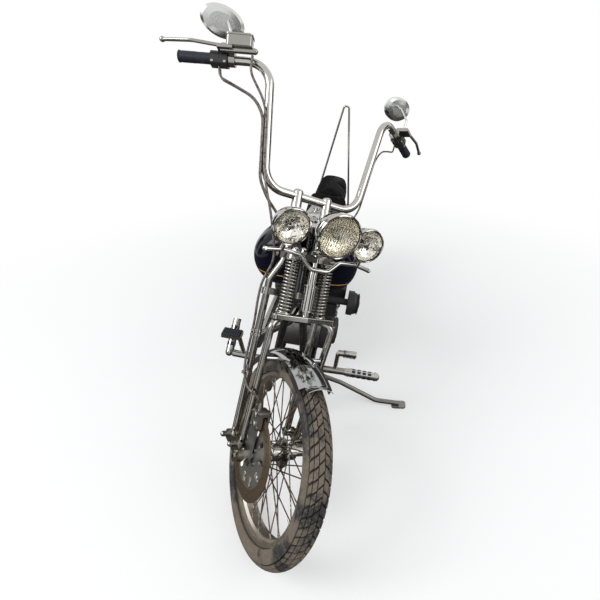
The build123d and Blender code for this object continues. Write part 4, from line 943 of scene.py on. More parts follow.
def make_world():
    """Soft light from all sides, white where it is seen."""
    world = bpy.data.worlds.new("studio")
    bpy.context.scene.world = world
    world.use_nodes = True
    nodes = Nodes(world.node_tree)
    shown = nodes.add("ShaderNodeBackground", {"Color": (1, 1, 1, 1), "Strength": 1.0})
    light = nodes.add("ShaderNodeBackground", {"Color": (0.96, 0.98, 1.0, 1), "Strength": SKY_STRENGTH})
    seen = seen_directly(nodes)
    both = nodes.add("ShaderNodeMixShader", {0: seen, 1: light.outputs[0], 2: shown.outputs[0]})
    nodes.feed(world.node_tree.nodes["World Output"].inputs["Surface"], both.outputs[0])


def flat_mesh(name, corners):
    """Mesh of one flat face."""
    mesh = bpy.data.meshes.new(name)
    mesh.from_pydata(corners, [], [tuple(range(len(corners)))])
    return mesh


def make_floor():
    """Pale floor that keeps the machine's shadow and turns white further off."""
    corners = ((-1, -1), (1, -1), (1, 1), (-1, 1))
    mesh = flat_mesh("floor", [(x * FLOOR_HALF, y * FLOOR_HALF, 0) for x, y in corners])
    material = bpy.data.materials.new("pale_floor")
    material.use_nodes = True
    nodes = Nodes(material.node_tree)
    nodes.tree.nodes.remove(nodes.tree.nodes["Principled BSDF"])
    matt = nodes.add("ShaderNodeBsdfDiffuse", {"Color": (0.92, 0.92, 0.92, 1)})
    glow = nodes.add("ShaderNodeEmission", {"Color": (1, 1, 1, 1), "Strength": 1.0})
    spot = nodes.add("ShaderNodeTexCoord").outputs["Object"]
    away = nodes.add("ShaderNodeVectorMath", {0: spot}, operation="LENGTH").outputs["Value"]
    white = nodes.ramp(away, *FLOOR_FADE, FLOOR_WHITE, 1.0)
    share = nodes.math("MULTIPLY", seen_directly(nodes), white)
    both = nodes.add("ShaderNodeMixShader", {0: share, 1: matt.outputs[0], 2: glow.outputs[0]})
    nodes.feed(nodes.tree.nodes["Material Output"].inputs["Surface"], both.outputs[0])
    mesh.materials.append(material)
    link("floor", mesh)


LAMP_GOAL = Vector((0, 0, 0.6))


def make_lamp(name, place, size, watts):
    """Soft square lamp aimed at the middle of the machine."""
    data = bpy.data.lights.new(name, "AREA")
    data.size = size
    data.energy = watts
    lamp = link(name, data)
    lamp.location = place
    aim(lamp, LAMP_GOAL - Vector(place))


# Upright cards: degrees round the machine, then metres
Card = namedtuple("Card", "turn away wide tall")
CARDS = (Card(8, 4.6, 1.1, 1.6), Card(34, 4.4, 1.7, 3.4), Card(72, 4.6, 2.2, 2.2),
         Card(112, 4.8, 2.4, 2.9), Card(152, 4.6, 2.0, 2.2), Card(196, 4.8, 2.6, 3.0),
         Card(240, 4.6, 2.2, 2.5), Card(282, 4.6, 2.4, 2.1), Card(326, 4.4, 1.9, 3.6))
GROUND_CARD = 3.1
GROUND_CARD_UP = 0.002
GROUND_STEPS = 40


def card_piece(name, corners, material):
    """A card that only polished metal and lamp glass see."""
    mesh = flat_mesh(name, corners)
    mesh.materials.append(material)
    made = link(name, mesh)
    for ray in ("camera", "diffuse", "shadow", "volume_scatter"):
        setattr(made, "visible_" + ray, False)


def make_cards():
    """Dark cards with bright gaps, standing round the machine and lying on the floor."""
    material = bpy.data.materials.new("dark_card")
    material.use_nodes = True
    shader = material.node_tree.nodes["Principled BSDF"]
    shader.inputs["Base Color"].default_value = (0.06, 0.052, 0.044, 1)
    shader.inputs["Roughness"].default_value = 0.9
    for number, card in enumerate(CARDS):
        turned = Matrix.Rotation(radians(card.turn), 4, "Z")
        corners = [turned @ Vector((card.away, side * card.wide / 2, high * card.tall))
                   for side, high in ((-1, 0), (1, 0), (1, 1), (-1, 1))]
        card_piece(f"dark_card_{number}", corners, material)
    turns = [2 * pi * k / GROUND_STEPS for k in range(GROUND_STEPS)]
    ground = [(GROUND_CARD * cos(turn), GROUND_CARD * sin(turn), GROUND_CARD_UP) for turn in turns]
    card_piece("ground_card", ground, material)


def make_stage():
    """Camera, light, floor and cards."""
    bpy.context.scene.view_settings.view_transform = "Standard"
    make_camera()
    make_world()
    make_floor()
    make_lamp("key_lamp", (2.4, -3.2, 4.2), size=2.6, watts=150.0)
    make_lamp("fill_lamp", (1.5, 3.6, 3.0), size=3.0, watts=60.0)
    make_cards()


# Tyres: a ribbed carcass with raised tread blocks in chevrons


Tyre = namedtuple("Tyre", "name body node finish place radius crown shoulder")
TYRES = (Tyre("front_tread", "front_wheel", "front_tyre", "front_rubber", FRONT_WHEEL, 347, 46, 48),
         Tyre("rear_tread", "rear_wheel", "rear_tyre", "rear_rubber", REAR_WHEEL, 320, 65, 66))
BEAD_TURN = 118
# Sidewall from the tread's edge to the bead: degrees from the crown and depth below it
SIDEWALL = ((66, 0.4), (72, 0.9), (73, 0.2), (76, 0.2), (77, 0.9), (90, 1.0), (91, 0.3), (96, 0.3), (97, 1.0),
            (108, 0.8), (112, 0.1), (BEAD_TURN, 0.1))
# Blocks of one pitch: shares of the half tread across, and of the pitch around
TREAD_BLOCKS = ((0.03, 0.38, 0.04, 0.82), (0.43, 0.7, 0.14, 0.9), (0.75, 1.0, 0.08, 0.8))
TREAD_SLANT = 0.8
BLOCK_STEPS = 3
BLOCK_FLARE = 0.9
BLOCK_SUNK = 1
GROOVE_STEPS = 5
TYRE_STEPS = 120


def tyre_section(tyre, turn, deep):
    """Radius and side of a point of the tyre's section, at an angle from its crown."""
    reach = tyre.crown - deep
    return tyre.radius - tyre.crown + reach * cos(turn), reach * sin(turn)


def tread_block(shape, tyre, across, around, deep):
    """Add a block between two places across the tread and two round it, in millimetres."""
    tops = []
    feet = []
    for edge, flare in zip(around, (-BLOCK_FLARE, BLOCK_FLARE)):
        top = []
        foot = []
        for k in range(BLOCK_STEPS + 1):
            side = across[0] + (across[1] - across[0]) * k / BLOCK_STEPS
            for line, lean, depth in ((top, 0, 0), (foot, flare, deep + BLOCK_SUNK)):
                far, wide = tyre_section(tyre, side / tyre.crown, depth)
                turn = (edge + lean + TREAD_SLANT * abs(side)) / tyre.radius
                line.append(Vector((far * cos(turn), far * sin(turn), wide)) * MM)
        tops.append(shape.ring(top))
        feet.append(shape.ring(foot))
    for low, high in ((tops[0], tops[1]), (feet[0], tops[0]), (tops[1], feet[1]), (feet[1], feet[0])):
        for k in range(BLOCK_STEPS):
            shape.mesh.faces.new((low[k], low[k + 1], high[k + 1], high[k]))
    for end in (0, BLOCK_STEPS):
        shape.mesh.faces.new((feet[0][end], tops[0][end], tops[1][end], feet[1][end]))


def make_tyre(tyre, deep, count):
    """Make a tyre with a number of tread pitches."""
    edge = tyre.shoulder / tyre.crown
    half = [(edge * k / GROOVE_STEPS, deep) for k in range(GROOVE_STEPS + 1)]
    half += [(radians(turn), depth) for turn, depth in SIDEWALL]
    section = [(-turn, depth) for turn, depth in reversed(half[1:])] + half
    shape = Shape(tyre.finish)
    profile = [tyre_section(tyre, turn, depth) for turn, depth in section]
    shape.lathe(tyre.place, profile, TYRE_STEPS, closed=True)
    pitch = 2 * pi * tyre.radius / count
    blocks = Shape(tyre.finish)
    for side in SIDES:
        stagger = 0.5 if side > 0 else 0.0
        for start, end, low, high in TREAD_BLOCKS:
            tread_block(blocks, tyre, (side * start * tyre.shoulder, side * end * tyre.shoulder),
                        ((low + stagger) * pitch, (high + stagger) * pitch), deep)
    shape.ring_of(blocks, count, tyre.place)
    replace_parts(shape.piece(tyre.name, tyre.body, "tyre"), tyre.node)


def make_tyres(sizes):
    """Make both tyres in place of the plain ones."""
    for tyre, count in zip(TYRES, (sizes.front_pitches, sizes.rear_pitches)):
        make_tyre(tyre, sizes.tread_deep / MM, count)


# Wheel trim: spoke nipples, valves and the bolts of discs and pulley


Laced = namedtuple("Laced", "name body place spokes cross rim_seat foot flange_at disc_face bolt_ring")
LACED = (Laced("front_wheel_trim", "front_wheel", FRONT_WHEEL, 40, 54, 256.4, 44, 31, 86.5, 36),
         Laced("rear_wheel_trim", "rear_wheel", REAR_WHEEL, 40, 48, 197.4, 48, 34, 81, 40))
SPOKE_BESIDE = 4.7
PULLEY_FACE = 94
NIPPLE = ((0, 0), (3.6, 0), (3.6, 4), (2.9, 5), (2.9, 13), (0, 14))
VALVE = ((0, -2), (5, -2), (5, 1), (3.4, 2), (3.4, 22), (4, 22.5), (4, 31), (3, 32), (0, 32))
DISC_BOLTS = 5


def make_wheel_trim(sizes):
    """Make the small metal of both wheels."""
    for wheel in LACED:
        shape = Shape("aged_chrome")
        groups = wheel.spokes // 4
        step = 2 * pi / groups
        for side in SIDES:
            for lead in SIDES:
                turn = step / 4 * (side + lead + (1 if side > 0 else 0))
                tip_turn = turn + radians(wheel.cross * lead)
                foot = Vector((wheel.foot * cos(turn), wheel.foot * sin(turn),
                               side * (wheel.flange_at + lead * SPOKE_BESIDE))) * MM
                tip = Vector((wheel.rim_seat * cos(tip_turn), wheel.rim_seat * sin(tip_turn),
                              side * (8 + lead * 4))) * MM
                nipple = Shape("aged_chrome")
                nipple.lathe(axis_frame(tip, foot - tip), NIPPLE, 8)
                shape.ring_of(nipple, groups, wheel.place)
        valve_turn = step / 8
        outward = along(wheel.place, cos(valve_turn), sin(valve_turn), 0)
        valve = axis_frame(wheel.place.translation + outward * wheel.rim_seat * MM, -outward)
        shape.lathe(valve, VALVE, 14)
        faces = [-wheel.disc_face]
        if wheel.body == "rear_wheel":
            faces.append(PULLEY_FACE)
        far = wheel.bolt_ring
        spots = []
        for face in faces:
            out = along(wheel.place, 0, 0, 1 if face > 0 else -1)
            for k in range(DISC_BOLTS):
                turn = 2 * pi * k / DISC_BOLTS
                spots.append((at(wheel.place, far * cos(turn), far * sin(turn), face), out, sizes.bolt * 1.1))
        shape.bolts(spots)
        shape.piece(wheel.name, wheel.body, "chrome")


# Lamps: bezels, reflectors, bulbs with their shields, and glass


LAMP_TILT = radians(23)
Lamp = namedtuple("Lamp", "ahead side up radius deep bezel glass")
LAMPS = (Lamp(253, 0, 782, 82, 112, 4.6, "warm_glass"), Lamp(200, 155, 783, 66, 84, 3.4, "clear_glass"),
         Lamp(200, -155, 783, 66, 84, 3.4, "clear_glass"))
LAMP_LIP = 8
BOWL_SHARE = 0.55
# Bowl of a reflector: shares of its inner radius and of its depth
BOWL = ((0.985, 0.09), (0.93, 0.26), (0.82, 0.46), (0.66, 0.64), (0.48, 0.79), (0.28, 0.9))
# Front of a glass: share of its radius and height
GLASS_FRONT = ((1, 3.2), (0.86, 6.4), (0.68, 9.0), (0.46, 11.0), (0.22, 12.3), (0, 12.8))
GLASS_THICK = 3.2
FLUTE_SPOTS = (-1, -0.6, -0.2, 0.2, 0.6, 1)
BULB_SHARE = 0.16
SHIELD_SHARE = 0.34
STAY_SHARE = 0.84


def lamp_frame(lamp):
    """Frame of a lamp, with Z along its beam and X up."""
    beam = along(FORK, cos(LAMP_TILT), 0, -sin(LAMP_TILT))
    left = along(FORK, 0, 1, 0)
    return frame_at(at(FORK, lamp.ahead, lamp.side, lamp.up), left.cross(beam), left, beam)


def make_glass(shape, lamp, place, flute):
    """Add a domed glass, with upright flutes behind the headlamp's."""
    edge = lamp.radius - LAMP_LIP - 0.5
    front = [(edge * share, z) for share, z in GLASS_FRONT]
    shape.lathe(place, [(far, z - GLASS_THICK) for far, z in reversed(front)] + front, 56)
    if lamp.glass == "warm_glass":
        wide = flute / MM
        count = int((edge - 6) // wide)
        for k in range(-count, count + 1):
            reach = ((edge - 5) ** 2 - (k * wide) ** 2) ** 0.5
            low = 4 * (1 - (k * wide / edge) ** 2)
            shape.tube([at(place, share * reach, k * wide, low * (1 - share * share) - 2.4)
                        for share in FLUTE_SPOTS], 0.47 * wide, 8)


def make_lamps(sizes):
    """Make the metal, bowls and glass of the three lamps."""
    metal = Shape("chrome")
    bowls = Shape("reflector")
    glass = {"clear_glass": Shape("clear_glass"), "warm_glass": Shape("warm_glass")}
    for lamp in LAMPS:
        place = lamp_frame(lamp)
        beam = place.to_3x3().col[2]
        inner = lamp.radius - LAMP_LIP
        deep = lamp.deep * BOWL_SHARE
        metal.hoop(at(place, 0, 0, 0), beam, lamp.radius - lamp.bezel, lamp.bezel, 64)
        metal.hoop(at(place, 0, 0, -13), beam, lamp.radius - 1.2, 2.2, 64)
        bowl = [(inner * far, -deep * down + 1.2) for far, down in BOWL]
        back = [(far, z - 0.8) for far, z in reversed(bowl)]
        bowls.lathe(place, bowl + [(0, 1.4 - deep), (0, 0.4 - deep)] + back, 48, closed=True)
        bulb = BULB_SHARE * lamp.radius
        metal.lathe(place, [(0, 2 - deep), (bulb, 2 - deep), (bulb, 8 - deep), (0.7 * bulb, 9 - deep),
                            (0, 9 - deep)], 20)
        glass["clear_glass"].lathe(place, [(0, 9 - deep), (0.6 * bulb, 9 - deep), (0.75 * bulb, 16 - deep),
                                           (0.6 * bulb, 26 - deep), (0, 29 - deep)], 16)
        cup = -SHIELD_SHARE * deep
        metal.lathe(place, [(0, cup + 5), (1.1 * bulb, cup + 2), (1.35 * bulb, cup - 6),
                            (1.2 * bulb, cup - 6), (bulb, cup), (0, cup + 3)], 24)
        for turn in (0.5 * pi, 1.5 * pi):
            far = STAY_SHARE * inner
            metal.tube([at(place, bulb * cos(turn), bulb * sin(turn), cup),
                        at(place, far * cos(turn), far * sin(turn), -0.42 * deep + 2)], 1.1, 6)
        make_glass(glass[lamp.glass], lamp, place, sizes.flute)
    metal.piece("lamp_bezels", "steering", "chrome")
    bowls.piece("lamp_reflectors", "steering", "chrome")
    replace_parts(glass["warm_glass"].piece("headlamp_glass", "steering", "clear_glass"), "lamp_lenses")
    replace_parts(glass["clear_glass"].piece("spot_glasses", "steering", "clear_glass"), "lamp_lenses")


# Fork trim: acorn nuts, spring cups, clips of the hose, caliper and light bar ends


CLAMP_TOP = 710.3
BRIDGE_TOP = 492
SPRING_SEAT = (78, 70)
LEG_TOP = (25, 84)
PIVOTS = ((-62, 25), (20, 20))
PIVOT_OUT = 145.2
AXLE_AT = (72, 0)
AXLE_OUT = 152
DAMPER_AT = 112
RIGID_LEG = ((-62, 106, 25), (4, 116, 604))
CALIPER = (94, 128)
CALIPER_OUT = 108
# Rings of the damper: height and radius
DAMPER_RINGS = ((BRIDGE_TOP + 20, 22.2), (BRIDGE_TOP + 106, 22.2), (BRIDGE_TOP + 170, 16.2))
# Clips of the brake hose: heights up the right leg, size, and the hose's place beside the leg
CLIP_HEIGHTS = (392, 408, 250)
CLIP_TALL = 9
HOSE_ASIDE = 19.8
FRONT_NUT = ((16.5, 0), (19, 0.8), (19, 9), (16.5, 10))


def on_leg(height):
    """Point of the right rigid leg's middle line."""
    (x0, y0, z0), (x1, y1, z1) = RIGID_LEG
    share = (height - z0) / (z1 - z0)
    return x0 + share * (x1 - x0), -(y0 + share * (y1 - y0)), height


def make_fork_trim(sizes):
    """Make the small metal of the fork."""
    metal = Shape("chrome")
    up = along(FORK, 0, 0, 1)
    spots = []
    for side in SIDES:
        out = along(FORK, 0, side, 0)
        for x, z in PIVOTS:
            metal.dome(at(FORK, x, side * (PIVOT_OUT - 0.5), z), out, 9, 13)
        nut = axis_frame(at(FORK, AXLE_AT[0], side * (AXLE_OUT - 12), 0), out)
        metal.lathe(nut, FRONT_NUT, HEAD_SIDES, closed=True)
        metal.dome(at(FORK, SPRING_SEAT[0], side * SPRING_SEAT[1], CLAMP_TOP - 0.5), up, 13, 24)
        metal.dome(at(FORK, LEG_TOP[0], side * LEG_TOP[1], CLAMP_TOP + 3), up, 11, 18)
        for height in (BRIDGE_TOP + 1.5, CLAMP_TOP - 25):
            metal.hoop(at(FORK, SPRING_SEAT[0], side * SPRING_SEAT[1], height), up, 27.5, 2.6)
        spots.append((at(FORK, 2, side * 104.5, CLAMP_TOP - 11), out, sizes.bolt * 1.3))
        metal.dome(at(FORK, 146, side * 209, 700), out, 8.6, 12)
    metal.dome(at(FORK, 0, 0, CLAMP_TOP + 13.5), up, 15, 20)
    for height, radius in DAMPER_RINGS:
        metal.hoop(at(FORK, DAMPER_AT, 0, height), up, radius, 1.6)
    right = along(FORK, 0, -1, 0)
    for lift in (-15, 15):
        metal.disc(at(FORK, CALIPER[0], -CALIPER_OUT, CALIPER[1] + lift), right, 12.5, 5, 1.4)
        for ahead in (-24, 24):
            spots.append((at(FORK, CALIPER[0] + ahead, -CALIPER_OUT, CALIPER[1] + 1.5 * lift), right,
                          sizes.bolt))
    aside = right * HOSE_ASIDE * MM
    for height in CLIP_HEIGHTS:
        low = at(FORK, *on_leg(height))
        high = at(FORK, *on_leg(height + CLIP_TALL))
        metal.sleeve(low, high, 13.1, 1.6)
        metal.sleeve(low + aside, high + aside, 4.7, 1.5, 16)
    metal.bolts(spots)
    metal.piece("fork_trim", "steering", "chrome")


# Handlebar trim: grip rubbers, buttons, screws and mirror glass


GRIP = 20
GRIP_LONG = 115
HOUSING_LONG = 60
RESERVOIR = (92, 44, 38)
MIRROR_AT = (-165, 430, 1524)
MIRROR_HALF = (82, 56)
MIRROR_TURN = 0.24
GRIP_RIBS = 9
RIB_STEP = 5.2
RIB_FROM = 14
GRIP_CAP = ((0, -3), (18, -3), (21.5, -1), (21.5, 3), (19.9, 4), (0, 4))
GRIP_COLLAR = ((19.5, GRIP_LONG - 6), (23, GRIP_LONG - 5), (23, GRIP_LONG - 1), (19.5, GRIP_LONG))
# Buttons of a housing: up, along the grip, and radius
BUTTONS = ((8, 132, 6), (-12, 132, 5), (6, 156, 7), (-14, 158, 4.5))
# Glass and ring of a mirror: share of the mirror's half sizes, and height
MIRROR_GLASS = ((0, -0.4), (0.93, -0.4), (0.93, 0.9), (0.91, 1.3), (0, 1.3))
MIRROR_RING = ((0.93, -0.4), (0.985, -0.4), (0.985, 1.2), (0.97, 2.2), (0.945, 2.2), (0.93, 1.2))


def mirror_frame(side):
    """Frame of a mirror's oval, with Z out of its glass and its half sizes as units."""
    facing = along(FORK, cos(RAKE), MIRROR_TURN * side, -sin(RAKE))
    wide = along(FORK, 0, 1, 0)
    wide = (wide - facing * wide.dot(facing)).normalized()
    middle = at(FORK, MIRROR_AT[0], side * MIRROR_AT[1], MIRROR_AT[2])
    return frame_at(middle, wide, wide.cross(facing), -facing) @ Matrix.Diagonal((*MIRROR_HALF, 1, 1))


def make_hand_trim(sizes):
    """Make the rubber, buttons, screws and glass of the handlebar."""
    rubber = Shape("soft_rubber")
    plastic = Shape("dark_plastic")
    metal = Shape("chrome")
    glass = Shape("mirror_glass")
    spots = []
    for side in SIDES:
        hand = Hand(side)
        place = axis_frame(hand.end, hand.inward)
        rubber.lathe(place, GRIP_CAP, 32)
        rib = Shape("soft_rubber")
        rib.hoop(Vector((0, 0, 0)), Vector((0, 0, 1)), GRIP - 0.5, 1.3, 36)
        rubber.row_of(rib, GRIP_RIBS, (0, 0, RIB_STEP), place @ Matrix.Translation((0, 0, RIB_FROM * MM)))
        rubber.lathe(place, GRIP_COLLAR, 36, closed=True)
        for lift, inward, radius in BUTTONS:
            plastic.disc(hand.spot(lift, -21.5, inward), -hand.ahead, radius, 4.5, 1.2, 18)
        for inward in (124, 168):
            spots.append((hand.spot(-22, 31.6, inward), hand.ahead, sizes.bolt * 0.7))
        plastic.hoop(hand.spot(-2, 4, GRIP_LONG + HOUSING_LONG / 2), hand.inward, 30.5, 0.9, 36)
        metal.disc(hand.spot(28.2, 52, 167), hand.up, 8.5, 4, 1)
        oval = mirror_frame(side)
        glass.lathe(oval, MIRROR_GLASS, 64)
        metal.lathe(oval, MIRROR_RING, 64, closed=True)
    right = Hand(-1)
    middle = GRIP_LONG + HOUSING_LONG + RESERVOIR[0] / 2
    for ahead in (-15, 15):
        for inward in (-37, 37):
            spot = right.spot(RESERVOIR[2] + 30, 44 + ahead, middle + inward)
            spots.append((spot, right.up, sizes.bolt * 0.75))
    metal.bolts(spots, 0.6, 1.3)
    rubber.piece("grip_ribs", "steering", "rubber")
    plastic.piece("switches", "steering", "rubber")
    metal.piece("hand_trim", "steering", "chrome")
    glass.piece("mirror_glasses", "steering", "clear_glass")


# Tank trim: filler caps, and the dial, switch and small lamps on the dash


DIAL_TICKS = 36
CAP_RIDGES = 30
SKY = 1200
FILLER = (985, 96)
FILLER_CAP = ((0, -6), (36, -6), (36, 1.5), (33, 3), (31, 3), (31, 12), (28, 15.5), (18, 17.5), (0, 18.2))
DIAL_CASE = ((0, -4), (47, -4), (47, 5), (44, 8), (40.5, 8), (40.5, 3), (0, 3))
DIAL_GLASS = ((0, 7.2), (40.3, 6.6), (40.3, 7.6), (20, 9.6), (0, 10.2))
SWITCH = ((0, -4), (20, -4), (20, 3), (17, 5), (12, 5), (12, 12), (10, 14), (0, 14))


def make_tank_trim():
    """Make the caps of the tank, and the dial, switch and small lamps of the dash."""
    metal = Shape("chrome")
    down = -BIKE_UP
    tank = surface("fuel_tank")
    for side in SIDES:
        spot, normal = landed(tank, at(GROUNDED, FILLER[0], side * FILLER[1], SKY), down)
        metal.lathe(axis_frame(spot, normal), FILLER_CAP, 48)
        ridge = Shape("chrome")
        ridge.block(Matrix.Translation((31 * MM, 0, 7.5 * MM)), (3, 2.2, 8), 0.8)
        metal.ring_of(ridge, CAP_RIDGES, axis_frame(spot, normal))
    console = surface("dash_console")
    spot, normal = landed(console, at(GROUNDED, 950, 0, SKY), down)
    dial = axis_frame(spot, normal)
    metal.lathe(dial, DIAL_CASE, 56)
    face = Shape("dial_face")
    face.lathe(dial, [(0, 2.8), (40.4, 2.8), (40.4, 4.2), (0, 4.2)], 48)
    face.piece("dial_face", "frame", "chrome")
    dark = Shape("dark_plastic")
    tick = Shape("dark_plastic")
    tick.block(Matrix.Translation((35 * MM, 0, 4.2 * MM)), (6, 1.1, 0.6), 0.2)
    dark.ring_of(tick, DIAL_TICKS, dial)
    needle = dial @ Matrix.Rotation(2.2, 4, "Z") @ Matrix.Translation((13 * MM, 0, 5.2 * MM))
    dark.block(needle, (34, 1.6, 0.8), 0.3)
    dark.lathe(dial, [(0, 4), (4.5, 4), (4.5, 6.2), (0, 6.6)], 18)
    glass = Shape("clear_glass")
    glass.lathe(dial, DIAL_GLASS, 48)
    glass.piece("dial_glass", "frame", "clear_glass")
    spot, normal = landed(console, at(GROUNDED, 866, 0, SKY), down)
    switch = axis_frame(spot, normal)
    metal.lathe(switch, SWITCH, 32)
    metal.block(switch @ Matrix.Translation((0, 0, 15 * MM)), (22, 7, 9), 2)
    for side in (-1, 0, 1):
        spot, normal = landed(console, at(GROUNDED, 894, side * 15, SKY), down)
        dark.dome(spot - normal * 0.5 * MM, normal, 3.6, 4.5, 14)
    dark.piece("dial_marks", "frame", "rubber")
    metal.piece("tank_trim", "frame", "chrome")


# Seats: leather cushions, filled by a cloth simulation, with piping and stitches


Station = namedtuple("Station", "x half low high")
RIDER = (Station(624, 70, 692, 722), Station(575, 92, 690, 724), Station(500, 112, 690, 732),
         Station(420, 121, 690, 744), Station(340, 122, 690, 770), Station(270, 120, 692, 800),
         Station(214, 112, 700, 830))
PILLION = (Station(196, 82, 640, 826), Station(150, 86, 664, 832), Station(80, 87, 682, 836),
           Station(0, 87, 690, 840), Station(-70, 86, 684, 842), Station(-116, 80, 668, 838))
SECTION_POINTS = 40
SECTION_POWER = 0.5
CLOTH_PRESSURE = 4.0
CLOTH_FRAMES = 20
CLOTH_QUALITY = 4
SEAM_HIGH = 0.66
SEAM_DEEP = 3.5
SEAM_WIDE = 5.0
SEAM_FROM = 0.7
SEAM_POINTS = 110
SEAM_POWER = 0.4
THREAD = 0.0009


def squared(value, power):
    """A sine or cosine pushed out towards the corners of a box."""
    return (abs(value) ** power) * (1 if value >= 0 else -1)


def station_at(stations, x):
    """Sizes of a cushion between its stations."""
    for front, rear in zip(stations, stations[1:]):
        if rear.x <= x <= front.x:
            share = (front.x - x) / (front.x - rear.x)
            return Station(*(a + share * (b - a) for a, b in zip(front, rear)))
    return stations[0] if x > stations[0].x else stations[-1]


def cushion_block(stations):
    """Plain closed form of a cushion, in the bike's frame."""
    shape = Shape("seat_leather")
    rings = []
    for station in stations:
        middle = (station.low + station.high) / 2
        tall = (station.high - station.low) / 2
        turns = [2 * pi * k / SECTION_POINTS for k in range(SECTION_POINTS)]
        rings.append(shape.ring([at(GROUNDED, station.x, station.half * squared(cos(turn), SECTION_POWER),
                                    middle + tall * squared(sin(turn), SECTION_POWER)) for turn in turns]))
    for low, high in zip(rings, rings[1:]):
        shape.bridge(low, high)
    for end in (rings[0], rings[-1]):
        shape.mesh.faces.new(end)
    return shape.to_mesh("cushion")


def filled(name, mesh, sizes):
    """Remesh a cushion and blow it up as cloth, holding how far its leather moves."""
    pad = link(name, mesh)
    remesh = pad.modifiers.new("grid", "REMESH")
    remesh.mode = "VOXEL"
    remesh.voxel_size = sizes.voxel
    even = applied(pad)
    pad.modifiers.remove(remesh)
    pad.data = even
    before = [vertex.co.copy() for vertex in even.vertices]
    cloth = pad.modifiers.new("filling", "CLOTH")
    cloth.settings.use_pressure = True
    cloth.settings.uniform_pressure_force = CLOTH_PRESSURE
    cloth.settings.effector_weights.gravity = 0.0
    cloth.settings.quality = CLOTH_QUALITY
    for number in range(1, CLOTH_FRAMES + 1):
        bpy.context.scene.frame_set(number)
    after = applied(pad)
    pad.modifiers.remove(cloth)
    bpy.context.scene.frame_set(1)
    for vertex, start in zip(after.vertices, before):
        move = vertex.co - start
        if move.length > sizes.swell:
            vertex.co = start + move.normalized() * sizes.swell
    pad.data = after
    return pad


def seam_height(stations, x):
    """Height of the seam at a place along a cushion."""
    station = station_at(stations, x)
    return station.low + SEAM_HIGH * (station.high - station.low)


def middle_and_reach(stations):
    """Middle of a cushion and half its length."""
    return (stations[0].x + stations[-1].x) / 2, (stations[0].x - stations[-1].x) / 2


def sew(pad, stations):
    """Pull the leather in along the seam between the top panel and the sides."""
    back = GROUNDED.inverted()
    middle, reach = middle_and_reach(stations)
    for vertex in pad.data.vertices:
        spot = back @ vertex.co / MM
        off = (spot.z - seam_height(stations, spot.x)) / SEAM_WIDE
        outer = max(abs(spot.y) / station_at(stations, spot.x).half, abs(spot.x - middle) / reach)
        if abs(off) < 3 and outer > SEAM_FROM:
            vertex.co -= vertex.normal * SEAM_DEEP * exp(-off * off) * MM


def seam_line(pad, stations):
    """Points and outward normals along the seam, found on the cushion itself."""
    tree = surface(pad.name)
    middle, reach = middle_and_reach(stations)
    found = []
    for k in range(SEAM_POINTS):
        turn = 2 * pi * k / SEAM_POINTS
        x = middle + 0.999 * reach * squared(cos(turn), SEAM_POWER)
        y = station_at(stations, x).half * squared(sin(turn), SEAM_POWER)
        height = seam_height(stations, x)
        start = at(GROUNDED, middle + (x - middle) * 1.5, y * 2.2, height)
        goal = at(GROUNDED, middle + (x - middle) * 0.55, y * 0.3, height)
        found.append(landed(tree, start, (goal - start).normalized()))
    return found


def make_seat(name, node, stations, sizes):
    """Make a cushion with its piping and stitches."""
    pad = filled(name, cushion_block(stations), sizes)
    for _ in range(2):
        pad.data.update()
        sew(pad, stations)
    smooth = pad.modifiers.new("smooth", "SUBSURF")
    smooth.levels = smooth.render_levels = 1
    final = applied(pad)
    bpy.data.objects.remove(pad)
    made = place_piece(name, final, "seat_leather", "frame")
    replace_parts(made, node)
    line = seam_line(made, stations)
    edge = Shape("seat_leather")
    edge.tube([spot + normal * 0.6 * sizes.piping for spot, normal in line], sizes.piping / MM, 10,
              closed=True)
    edge.piece(name + "_piping", "frame", "seat_leather")
    thread = Shape("dark_plastic")
    above = BIKE_UP * 2.6 * sizes.piping
    spots = []
    tree = surface(name)
    for (spot, normal), (after, _) in zip(line, line[1:] + line[:1]):
        steps = max(1, int((after - spot).length / (1.5 * sizes.stitch)))
        for k in range(steps):
            here = spot.lerp(after, (k + 0.5) / steps) + above
            near, out, _, _ = tree.find_nearest(here)
            run = (after - spot).normalized()
            spots.append((near + out * 0.2 * MM - run * 0.5 * sizes.stitch, run, THREAD))
    thread.bolts(spots, sizes.stitch / THREAD, 0.6)
    thread.piece(name + "_stitches", "frame", "seat_leather")


def make_seats(sizes):
    """Make both cushions in place of the plain seats."""
    make_seat("rider_cushion", "rider_seat", RIDER, sizes)
    make_seat("pillion_cushion", "pillion_seat", PILLION, sizes)


# Engine trim: bolts, round covers, plugs, collars of the pushrod tubes, horn and air cleaner


CRANK = (800, 285)
V_HALF = radians(22.5)
PRIMARY_FACE = 167
PRIMARY_ENDS = ((800, 285, 104), (520, 320, 96))
CAM_FACE = -96
CAM_ENDS = ((840, 305, 74), (760, 305, 74))
ROCKER_TOP = 366.3
ROCKER_MIDDLE = -15
HEAD_MIDDLE = 300
FIN = 72
PUSHROD_OUT = -84
AIR_CLEANER = (800, 574)
AIR_FACE = -152
HORN = (930, 560)
HORN_FACE = 260
